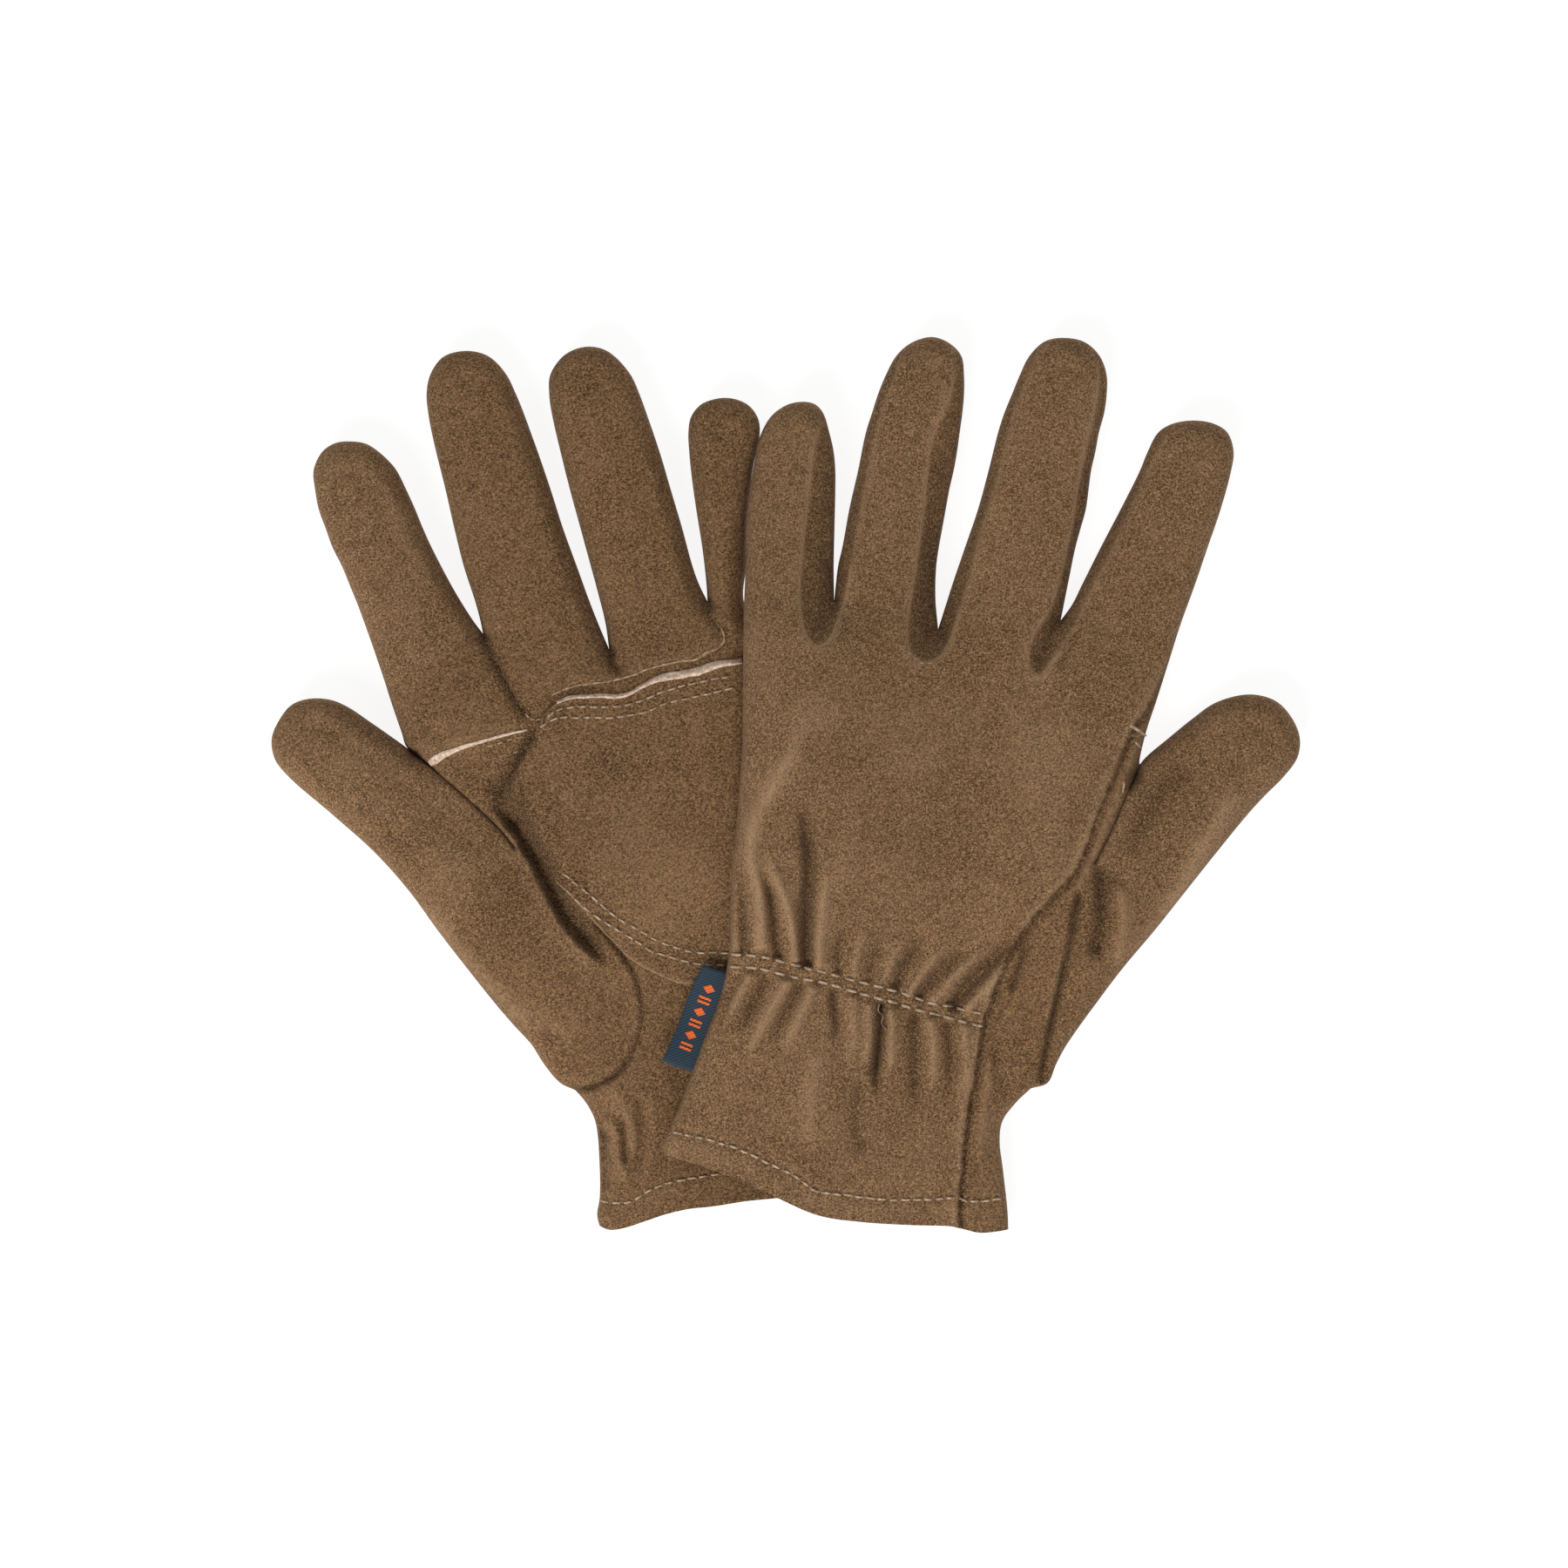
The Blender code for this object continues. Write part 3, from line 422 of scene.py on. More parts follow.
class Sheet:
    """The plan of one glove as a triangle mesh, from which top and underside are raised."""

    def __init__(self, glove):
        self.glove = glove
        source = PLANS[glove]
        points, edges, known = [], [], {}

        def add(point):
            key = (round(point[0], 3), round(point[1], 3))
            if key not in known:
                known[key] = len(points)
                points.append((float(point[0]), float(point[1])))
            return known[key]

        runs = [spline(path(run), EDGE_STEP) for run in source["outline"]]
        sides = runs[:-1]
        side_ids = set()
        for i, run in enumerate(runs):
            ids = [add(p) for p in run]
            edges += zip(ids, ids[1:])
            if i < len(sides):
                side_ids.update(ids)
        outline_edges = len(edges)
        outline = np.array(points)

        self.lines = {}
        for name, text in {**source["seams"], **source["cuts"]}.items():
            line = spline(path(text), EDGE_STEP)
            ends = [int(np.argmin(((outline - line[k]) ** 2).sum(1))) for k in (0, -1)]
            line[0], line[-1] = outline[ends[0]], outline[ends[1]]
            ids = [ends[0]] + [add(p) for p in line[1:-1]] + [ends[1]]
            edges += [(a, b) for a, b in zip(ids, ids[1:]) if a != b]
            self.lines[name] = line

        edge_tree = flat_tree([a + (b - a) * t for run in sides for a, b in zip(run, run[1:])
                               for t in (0, 0.25, 0.5, 0.75)])
        extra = self.scatter(points, sides, edge_tree, outline, source["fine"])
        loop = np.vstack([run[:-1] for run in runs])
        extra = clear_inside(extra, loop, edge_tree, 0.15)
        plan, tris, point_source, out_edges, edge_source = triangulate(points, extra, edges, loop)
        tris = tris[np.abs(doubled_area(plan, tris)) > 1e-9]
        self.plan, self.tris = plan, tris
        pairs = np.vstack([tris[:, [0, 1]], tris[:, [1, 2]], tris[:, [2, 0]]])
        self.edges = np.unique(np.sort(pairs, axis=1), axis=0)
        self.on_side = np.array([bool(set(ids) & side_ids) for ids in point_source])
        walls = {(min(edge), max(edge)) for edge, ids in zip(out_edges, edge_source)
                 if any(outline_edges <= i < len(edges) for i in ids)}
        self.region = self.regions(walls, source["seeds"])
        self.dist = tree_distance(edge_tree, plan)    # from the side edge
        self.dist[self.on_side] = 0.0

    def scatter(self, points, sides, edge_tree, outline, fine):
        """Rings that follow the outline, flanks of the seams, then even grids."""
        cloud = Scatter(points)
        for off in (0.22, 0.75, 1.6, 2.8, 4.2):
            gap = min(0.2 + off * 0.25, 0.8) if off < 1 else 0.75
            for run in sides:
                for p in run - left_normals(run) * off:
                    if edge_tree.find((p[0], p[1], 0))[2] > off * 0.9:
                        cloud.take(p, gap)
        for line in self.lines.values():
            normals = left_normals(line, 1e-9)
            for off in (0.7, 1.6):
                for side in (1, -1):
                    for p in line + normals * off * side:
                        if edge_tree.find((p[0], p[1], 0))[2] > 0.5:
                            cloud.take(p, 0.6)
        grids = [(*path(zone), GRID * 0.66) for zone in fine]
        grids.append((outline.min(0), outline.max(0), GRID))
        for low, high, step in grids:
            for p in lattice(low, high, step):
                cloud.take(p, step * 0.62)
        return np.array(cloud.chosen)

    def regions(self, walls, seeds):
        """The piece each triangle belongs to, flooded up to the seams and cuts."""
        sharing = {}
        for i, (a, b, c) in enumerate(self.tris):
            for p, q in ((a, b), (b, c), (c, a)):
                sharing.setdefault((min(p, q), max(p, q)), []).append(i)
        neighbours = [[] for _ in self.tris]
        for edge, pair in sharing.items():
            if len(pair) == 2 and edge not in walls:
                neighbours[pair[0]].append(pair[1])
                neighbours[pair[1]].append(pair[0])
        area = np.full(len(self.tris), -1)
        for start in range(len(area)):
            if area[start] >= 0:
                continue
            area[start] = start
            stack = [start]
            while stack:
                for i in neighbours[stack.pop()]:
                    if area[i] < 0:
                        area[i] = start
                        stack.append(i)
        centres = self.plan[self.tris].mean(1)
        names = {}
        for name, place in seeds.items():
            nearest = np.argmin(((centres - path(place)[0]) ** 2).sum(1))
            names.setdefault(int(area[nearest]), name)
        # an area without a name joins the hand
        return np.array([names.get(int(a), "hand") for a in area])


# ---- raising the sheets -------------------------------------------------------
def relax(values, edges, rounds, share, hold=False):
    """Moves each value towards the mean of its neighbours, except where held."""
    size = len(values)
    count = np.maximum(np.bincount(edges.ravel(), minlength=size).astype(float), 1)
    for _ in range(rounds):
        total = (np.bincount(edges[:, 0], weights=values[edges[:, 1]], minlength=size)
                 + np.bincount(edges[:, 1], weights=values[edges[:, 0]], minlength=size))
        values = np.where(hold, values, values + share * (total / count - values))
    return values


def axis_of(ends):
    root, tip = path(ends)
    length = np.linalg.norm(tip - root)
    return root, (tip - root) / length, length


def section(sheet):
    """Half height, width of the rounded side, and how much a point belongs to a digit."""
    plan = sheet.plan
    hem, direction, _ = axis_of(PLANS[sheet.glove]["axis"])
    along = (plan - hem) @ direction
    half = np.interp(along, [-10, 0, 30, 55, 68, 90, 120, 150, 175, 200],
                     [6.6, 6.6, 7.2, 7.0, 7.6, 9.6, 11.0, 10.2, 9.2, 9.0])
    rounding = np.interp(along, [0, 60, 100, 170], [13.0, 15.0, 19.0, 17.0])
    weight = np.zeros(len(plan))
    digit_half = np.zeros(len(plan))
    for digit, (ends, half_width) in PLANS[sheet.glove]["digits"].items():
        root, direction, length = axis_of(ends)
        along = (plan - root) @ direction
        aside = np.abs((plan - root) @ np.array([direction[1], -direction[0]]))
        thumb = digit == "thumb"
        lead = 26.0 if thumb else 11.0     # how far below its root a digit begins to swell
        near = smooth((along + lead) / (lead + 9.0)) * (1 - smooth((aside - half_width - 3) / 5.0))
        high = np.interp(along / length, [-0.3, 0, 0.5, 0.85, 1.0],
                         [9.4, 9.2, 8.9, 8.6, 8.0] if thumb else [9.0, 8.7, 8.2, 7.8, 7.2])
        nearer = near > weight
        digit_half[nearer] = high[nearer]
        weight = np.maximum(weight, near)
    half = half * (1 - weight) + digit_half * weight
    rounding = rounding * (1 - weight) + 12.2 * weight
    return relax(half, sheet.edges, 25, 0.6), relax(rounding, sheet.edges, 25, 0.6), weight


def raise_sheet(sheet):
    """Top and underside heights, the dome between side and middle, and the digit weight."""
    plan, edges, dist = sheet.plan, sheet.edges, sheet.dist
    upper = sheet.glove == "upper"
    half, rounding, weight = section(sheet)
    power = 2.25
    dome = (1 - (1 - np.clip(dist / rounding, 0, 1)) ** power) ** (1 / power)
    inward = smooth((dist - 5.0) / 4.0)
    dome = dome * (1 - inward) + relax(dome, edges, 30, 0.6, sheet.on_side) * inward
    middle = half + (upper_lift(plan) if upper else np.zeros(len(plan))) + 0.1
    # the edges along the slit are raised to lie on the hand
    slit_dist, share, _ = curve_field(plan, path(PLANS[sheet.glove]["slit"]))
    curl = 0.66 * bell(slit_dist, 5.0) * smooth((share - 0.04) / 0.3)
    top = middle + half * (curl + (1 - curl) * dome)
    bottom = middle + curl * half - half * (1 + curl) * dome
    if not upper:
        bottom = np.maximum(bottom - 0.8 * dome, 0.05)
    split = split_height(plan, sheet.glove)
    soft_split = relax(split, edges, 12, 0.6)
    if upper:
        limit = np.where(split > 0.2, soft_split + 0.5, -10)
        bottom = np.maximum(bottom, relax(np.maximum(limit, 0.05), edges, 4, 0.5))
        top = np.maximum(top, bottom + 3.4 * dome)
    else:
        on_digit = np.zeros(len(plan), bool)
        on_digit[sheet.tris[~np.isin(sheet.region, ["hand", "thumb_base"])]] = True
        top = np.minimum(top, np.where((split > 0.5) & ~on_digit, soft_split - 0.9, 99.0))
        bottom = np.minimum(bottom, np.maximum(top - 3.0 * dome, 0.05))
    return top, bottom, dome, weight


# ---- relief of the upper glove ------------------------------------------------
# Rows of strokes: plan line, width and amount in mm, fade in and out
UPPER_GATHERS = [
    # on the finger side of the elastic
    ("-6,-48 -6.5,-37.5 -7,-29.75 -9.25,-21 -8.5,-11 -4,-1.25 2.25,8.75 7.25,22.5",
     2.4, 1.15, 0.02, 0.35),
    ("-11,-48 -11.5,-39.5 -12.25,-28.75 -12,-21.25", 1.8, -0.9, 0.02, 0.4),
    ("-14,-47.5 -13.75,-35 -13,-22.5", 1.6, 0.5, 0.02, 0.4),
    ("-1.75,-50 -2.75,-39.75 -4.25,-30.5 -7,-23", 1.7, -1.25, 0.02, 0.35),
    ("3.5,-51 3,-44.5 1,-34.75 -3,-24.75 -6,-16.25", 1.9, 1.0, 0.02, 0.35),
    ("6.5,-53 6.25,-44.5 6.75,-35 7.25,-22.5 6.25,-11 3.5,0", 2.4, -1.75, 0.03, 0.4),
    ("10.5,-53 10.25,-44.5 11.5,-32.5 12.5,-21.25", 2.1, 0.85, 0.02, 0.5),
    ("15.25,-54.5 16,-46.25 18,-37.5", 1.7, -0.7, 0.02, 0.5),
    ("19.75,-55.5 21,-47.5 24,-38", 1.8, 0.5, 0.02, 0.5),
    ("24.5,-57 26,-49.5 30,-40.5", 1.7, -0.65, 0.02, 0.5),
    ("28.25,-57.5 31,-50 36.5,-41.5", 1.8, 0.5, 0.02, 0.5),
    ("31.5,-59 35,-51 42.5,-41.5", 1.9, -1.05, 0.02, 0.5),
    ("35.75,-60.5 40.5,-53 49,-43.5", 1.8, 0.6, 0.02, 0.5),
    ("38,-61.5 45,-53 55,-45", 1.9, -1.0, 0.02, 0.5),
    ("42.5,-63 49.5,-54.5 60.5,-44.5", 1.9, 0.7, 0.02, 0.5),
    ("47.5,-64.5 54.5,-56 65.75,-45.5 74,-38.75", 2.3, -1.4, 0.02, 0.5),
    ("52,-65 60.5,-55.5 71,-45.5", 1.9, 0.8, 0.02, 0.5),
    # on the hem side of it
    ("-12.5,-54 -15.5,-60.5 -18,-67", 1.6, -0.6, 0.02, 0.5),
    ("-9.75,-54 -13.75,-62 -17.5,-70.5", 1.7, 0.8, 0.02, 0.5),
    ("-4.5,-54.5 -9,-63 -13.5,-72.5", 1.8, -1.0, 0.02, 0.5),
    ("1.25,-55.5 -3.5,-64 -8.5,-73.5 -12,-80.5", 1.9, 1.05, 0.02, 0.5),
    ("5,-56.5 0.5,-65.5 -5,-76", 1.8, -0.9, 0.02, 0.5),
    ("9,-57.5 4,-67.5 -2,-79.5", 1.9, 0.8, 0.02, 0.5),
    ("13.75,-58.5 15,-69 14.5,-76.5", 1.6, -1.0, 0.02, 0.5),
    ("20,-60.5 20,-72.5 18,-85", 2.2, 0.5, 0.02, 0.5),
    ("28,-62.5 27.75,-70 27,-77.5 26.25,-83 27,-92", 1.35, -2.0, 0.02, 0.45),
    ("24.5,-62.5 24.25,-72.5 23,-83.75", 1.7, 0.6, 0.02, 0.4),
    ("31,-64 31,-74 30.5,-85", 1.8, 0.7, 0.02, 0.4),
    ("37.5,-65.5 38,-78.75 37,-95", 2.6, -0.85, 0.02, 0.4),
    ("42.5,-67 43,-80 42.5,-92.5", 2.2, 0.6, 0.02, 0.5),
    ("47,-68 48,-78.75 47.5,-90", 2.0, -0.8, 0.02, 0.5),
    ("52,-69 52,-81.25 50,-95", 2.0, 0.5, 0.02, 0.5),
    ("22.25,-83 21,-96.25 22.5,-107.5", 3.2, -0.6),
    ("10,-75 7.5,-90 7.5,-105", 3.6, 0.4),
]
THUMB_FOLD = "85,-29.75 82,-45 79,-58.75 76.75,-68.75 73.5,-86.25"
SIDE_FOLD = "70.5,-44.5 67.5,-52 65,-60"
UPPER_THUMB_FOLDS = [
    (THUMB_FOLD, 1.1, -1.7, 0.05, 0.02),
    ("83,-40 79.75,-50 75,-70", 1.5, 0.6),
    ("96,-27.5 97.75,-37.5 95.25,-52.5", 2.0, 1.0),
    ("90.5,-21.25 91.5,-35 89,-51.25", 2.6, -1.6),
    ("131.25,1.25 121.25,-16.25 107.5,-40 97.5,-52", 3.4, 0.75),
    ("117.5,7.5 107.5,-5 97.5,-21.25", 4.2, -0.8),
    (SIDE_FOLD, 1.2, -1.3),
    ("62.5,-62.5 60,-72.5 62.5,-85 65,-90.5", 1.6, -0.6),
    ("59.5,-75 58,-87.5 56,-105", 1.6, 0.55),
]
# painted shade along the thumb's folds
UPPER_THUMB_SHADE = [
    (THUMB_FOLD, 1.2, 0.35, 0.05, 0.02),
    ("90.5,-25 91,-35 88,-50", 2.4, 0.3),
    ("115,7.5 107.5,-1.25 99,-15", 4.2, 0.25),
    (SIDE_FOLD, 1.3, 0.3),
]
# valleys between the fingers, sunk in the relief and painted with shade
UPPER_FINGER_VALLEYS = [
    ("12.75,85 12.5,65 11.75,50 9.5,42.5", 1.9, 0.5, 0.4, 0.08),
    ("43,85 42.5,65 42,50 41.5,42.5 40,37.5", 2.3, 0.7, 0.4, 0.08),
    ("81,54 78,46 74.75,38.5 72.5,34", 1.8, 0.9, 0.4, 0.08),
    ("50,61.25 48,50 45,39.5", 1.6, 0.45, 0.4, 0.08),
    ("89,52.5 83,41 76.5,32.5", 0.9, 0.6, 0.4, 0.08),
]
# painted highlights beside the seams
UPPER_FINGER_HIGHLIGHTS = [
    ("90.5,65 86,54 80,42 74,32", 1.3, 0.7, 0.3, 0.15),
    ("47,40.5 49,49 52,58", 1.0, 0.3, 0.15, 0.4),
]
UPPER_FINGER_FOLDS = [
    ("90.5,39.5 90.5,43.5 92,48", 1.3, -0.35),
    ("69.5,27.5 75,32 80.5,39.5", 1.6, 0.35),
]
UPPER_DENTS = [("35,12.5", 15, 0.5), ("72.5,10", 14, 0.5), ("7.5,21.25", 9, 0.55),
               ("47.5,-15", 16, -0.45), ("15,-25", 12, 0.3), ("75,-20", 12, 0.35)]


def seam_grooves(sheet, names, width, depth, lip):
    relief = np.zeros(len(sheet.plan))
    for name in names:
        dist, _, _ = line_field(sheet.plan, sheet.lines[name])
        relief += lip * bell(dist - 1.9, 1.0) - depth * bell(dist, width)
    return relief


def hem_waves(plan, hem, seed, amount):
    return amount * waves(plan, seed, 4.0, 2) * bell(curve_field(plan, hem)[0], 4.0)


def upper_relief(sheet, weight):
    """Relief in mm, and the painted shade and highlights, with some rubbed wear, of the upper
    glove's top.
    """
    plan = sheet.plan
    relief = strokes(plan, UPPER_GATHERS, wide=0.74, deep=2.3)
    # the leather lies pinched between the two rows of elastic stitches
    for row in (ELASTIC_TOP_ROW, ELASTIC_LOW_ROW):
        relief += stroke(plan, row, width=0.9, amount=-0.5, fade_in=0, fade_out=0)
    dist, share, _ = curve_field(plan, (ELASTIC_TOP_ROW + ELASTIC_LOW_EDGE) / 2)
    relief += (0.35 * bell(dist, 7.0) * np.sin(share * 2 * math.pi * 13 + 0.8)
               * (1 - bell(dist, 1.2) * 0.4))
    # hem; the band between the hem row and the edge, and the cuff's side, are lighter in patches,
    # partly rubbed wear and partly painted highlight
    relief += stroke(plan, UPPER_HEM, width=0.8, amount=-0.42, fade_in=0, fade_out=0)
    relief += hem_waves(plan, UPPER_HEM, seed=31, amount=0.18)
    patchy_lightening = 0.55 + 0.75 * waves(plan, 52, 1.9, 2)
    dark = -patchy_lightening * (stroke(plan, UPPER_HEM + (0, -3.5), 2.2, 0.4, 0.05, 0.05)
                   + strokes(plan, [("58,-92.5 57.5,-125", 4.2, 0.42, 0.2, 0.0)]))
    dark -= strokes(plan, [("65,-90.5 62,-100 63,-122.5", 1.6, 0.3, 0.1, 0.0)])
    # edge of the back, standing over the palm leather beside it
    dist, share, side = line_field(plan, sheet.lines["back_edge"])
    on_back = side < 0
    start = smooth((share - 0.02) / 0.1)
    relief += 0.55 * np.where(on_back, bell(dist - 1.0, 1.7), 0)
    relief -= 1.5 * np.where(on_back, bell(dist, 0.45) * 0.3, bell(dist - 0.5, 1.3)) * start
    # painted shadow along the edge, mostly on the palm leather beside it
    dark += 0.75 * np.where(on_back, bell(dist, 0.5) * 0.3,
                            bell(dist - 0.3, 0.6 + 0.5 * smooth((share - 0.4) / 0.2)))
    finger_part = smooth((share - 0.02) / 0.05) * (1 - smooth((share - 0.36) / 0.12))
    dark -= (np.where(on_back, 0.0, 1.0) * finger_part * bell(dist - 2.6, 1.6)
             * (0.42 + 0.5 * waves(plan, 41, 2.2, 2)))
    relief += np.where(on_back, 0, 0.9 * bell(dist - 2.8, 1.5)) * finger_part
    # painted highlight along the raised edge of the back
    dark -= 0.35 * np.where(on_back, bell(dist - 0.9, 0.7), 0) * start
    # palm side and thumb
    relief += strokes(plan, UPPER_THUMB_FOLDS, wide=0.85, deep=1.7)
    # painted shade in the thumb's folds
    dark += strokes(plan, UPPER_THUMB_SHADE, wide=0.85, deep=1.7)
    # the strips between the fingers lie below the backs of the fingers they join
    for name in ("strip_little_ring", "strip_ring_middle", "strip_middle_index"):
        dist, share, side = line_field(plan, sheet.lines[name])
        on_line = dist < 0.05
        within = (side > 0) & ~on_line & (dist < 6.5)
        from_ends = 1 - np.abs(2 * share - 1)
        low = smooth(from_ends / 0.7)
        relief -= np.where(within, (0.5 + 0.62 * low) * smooth(dist / 1.3), 0)
        relief -= np.where(on_line, 0.25, 0)
        relief += np.where(side < 0, 0.35 * bell(dist - 0.9, 1.0), 0)
        # painted shade fills each strip, deepest where it sinks lowest; the seam line itself is
        # drawn lighter
        dark += np.where(within, (0.04 + 0.12 * low) * bell(dist - 0.9, 1.4), 0)
        dark -= np.where(share < 0.6, 1.25, 0.55) * bell(dist, 0.62) * smooth(from_ends / 0.12)
    # painted shade in the valleys between the fingers, painted highlights beside the seams
    dark += strokes(plan, UPPER_FINGER_VALLEYS, deep=0.68)
    relief -= strokes(plan, UPPER_FINGER_VALLEYS, deep=0.95)
    dark -= strokes(plan, UPPER_FINGER_HIGHLIGHTS)
    thumb_end_y = -85 + PLAN_ORIGIN[1]
    relief += (seam_grooves(sheet, ["thumb_base"], width=0.8, depth=0.5, lip=0.1)
               * smooth((plan[:, 1] - thumb_end_y) / -3 + 1))
    relief += strokes(plan, UPPER_FINGER_FOLDS) + dents(plan, UPPER_DENTS)
    relief += ((1 - 0.5 * weight) * 0.34 * waves(plan, 3, 21.0)
               + 0.12 * waves(plan, 5, 7.0, 2) + 0.05 * waves(plan, 7, 2.6, 2))
    return relief, dark


# ---- relief of the lower glove ------------------------------------------------
THUMB_EDGE = """-90,-3 -83.75,-7.25 -77.5,-15.75 -72.75,-23.75 -68.75,-31.5 -65.5,-38
    -61.5,-43.5 -56.75,-48.25 -51.25,-53"""
INDEX_EDGE = "-108.5,8.5 -101.5,6 -96,9 -87,12 -80,14.25 -73.5,15.5"
BASE_NICK = "-51.5,-59 -51.5,-64 -53.5,-68.5"
INDEX_VALLEY = "-86.75,43.25 -84.5,38.75 -81,32 -78,26 -75,21 -72,18.5"
CREASE = "-70.5,17 -74,10.5 -78.5,2.5 -81.5,-4.5"
HOLLOW = "-83.5,2.5 -80,-7.5 -76,-13.75"
RING_VALLEY = "-50.25,38.75 -49.25,35.5 -47,30.5"
LOWER_FOLDS = [
    ("""-66,-28 -59,-33.5 -51.5,-41.5 -45.5,-48 -41.75,-55 -40.5,-63 -41.25,-71
    -43.5,-77.5 -47.5,-82.5""", 1.1, 1.1, 0.1, 0.2),
    (BASE_NICK, 0.8, -0.5),
    ("-104,-35 -92.5,-48 -80,-61.5 -69.5,-70.5", 2.6, 0.9),
    ("-100,-43 -88.75,-56.5 -77,-70", 2.0, -0.5),
    ("-77.5,-60 -67.5,-68 -57,-72.5", 3.2, 0.6),
    ("-98,4 -91.25,7.25 -84.5,9 -76.5,11", 0.7, -0.22),
    ("-97,1 -90,4.5 -83.5,6.25 -76.5,8", 0.7, -0.22),
    (INDEX_VALLEY, 1.2, -1.5, 0.02, 0.1),
    ("-72,18.5 -69.5,19 -67.5,22 -66,25.5", 0.8, -0.8, 0.1, 0.1),
    (CREASE, 1.5, -1.5, 0.1, 0.1),
    (HOLLOW, 3.5, -0.9),
    (RING_VALLEY, 1.1, -1.4, 0, 0.3),
    ("-22,52.5 -20.5,47 -17,41.25", 1.1, -0.9, 0, 0.2),
    # soft folds on the patch
    ("-26,22 -24.5,16 -25,9.5", 1.8, 0.7),
    ("-28,22 -27.5,15 -29,8.5", 1.8, -0.6),
    ("-21.25,21.25 -19.5,12.5 -21,5", 2.2, -0.5),
]
# painted shade along the folds, creases and hollows
LOWER_FOLD_SHADE = [
    (BASE_NICK, 0.8, 0.25),
    (INDEX_VALLEY, 1.6, 0.6, 0.02, 0.1),
    (CREASE, 2.0, 0.7, 0.1, 0.15),
    (HOLLOW, 4.5, 0.4),
    (RING_VALLEY, 1.5, 0.7, 0, 0.3),
    ("-22,52.5 -20.5,47 -18,42.5", 1.3, 0.5, 0, 0.2),
]
# broad painted shade on the palm
LOWER_SHADES = [
    ("-120,0 -97.5,-18.75 -77.5,-38.75 -62.5,-56.25", 9.0, 0.24, 0.25, 0.2),
    ("-100,2.5 -88.75,2.5 -77.5,-1.25 -72,-12.5", 5.0, 0.36, 0.3, 0.1),
]
CUFF_EDGE_FOLD = "-52.5,-97.5 -52,-107.5 -51.5,-118"
CUFF_FOLDS = [
    ("-52.5,-84.5 -48.5,-90.5 -44.5,-97.5 -43,-106.25", 2.0, 2.1),
    ("-50.5,-95.5 -49,-101.25 -47.5,-108.75 -47,-115", 1.7, 1.6),
    ("-47,-92 -46,-100 -45.5,-110", 1.3, -1.6),
    (CUFF_EDGE_FOLD, 1.7, -1.2),
    ("-41.75,-88.75 -40.75,-100 -41.75,-111.25", 1.6, -0.9),
    ("-38.5,-86.25 -37.5,-100 -39,-112.5", 2.0, 0.5),
    ("-56.25,-90.5 -52.5,-97.5 -50,-103", 1.8, -0.6),
    ("-35,-62.5 -31.25,-75 -30,-90", 2.6, -0.5),
    ("-32.5,-97.5 -32,-107.5 -33,-118", 2.4, 0.4),
]
# lighter strokes, partly rubbed wear and partly painted highlight
LOWER_WORN_AND_LIT = [
    ("-104,-36.5 -92.5,-49.5 -80,-63 -70.5,-72.5", 3.2, 0.62, 0.2, 0.15),
    ("-77.5,-62.5 -68.75,-69.5 -59,-72", 2.4, 0.45, 0.2, 0.2),
    ("-57,-89 -52.5,-97.5 -51.5,-117.5", 2.4, 0.4, 0.2, 0.1),
    ("-142.5,18.5 -135,22 -125.5,20.5", 5.0, 0.25, 0.2, 0.2),
]
# painted highlights on the cuff's fold ridges
LOWER_CUFF_HIGHLIGHTS = [
    ("-51.5,-86.25 -48,-91 -44.5,-97.5 -43.25,-105.5", 0.9, 0.5, 0.1, 0.15),
    ("-50,-96 -48.5,-101.75 -47.25,-109 -47,-114.5", 0.8, 0.4, 0.1, 0.15),
]
LOWER_DENTS = [
    ("-66,-72", 3.5, -0.7), ("-72,-76.25", 4, 0.5), ("-61.25,-67.5", 4, 0.5),
    ("-58,-73.75", 3, -0.4), ("-95,-25", 10, 0.6), ("-125,5", 9, 0.3), ("-85,-45", 9, -0.4),
    ("-48.5,6", 7.0, -0.9), ("-63,0", 9.0, 0.5), ("-45,-21.25", 15, 0.7),
    ("-30,-27.5", 14, 0.35),
]


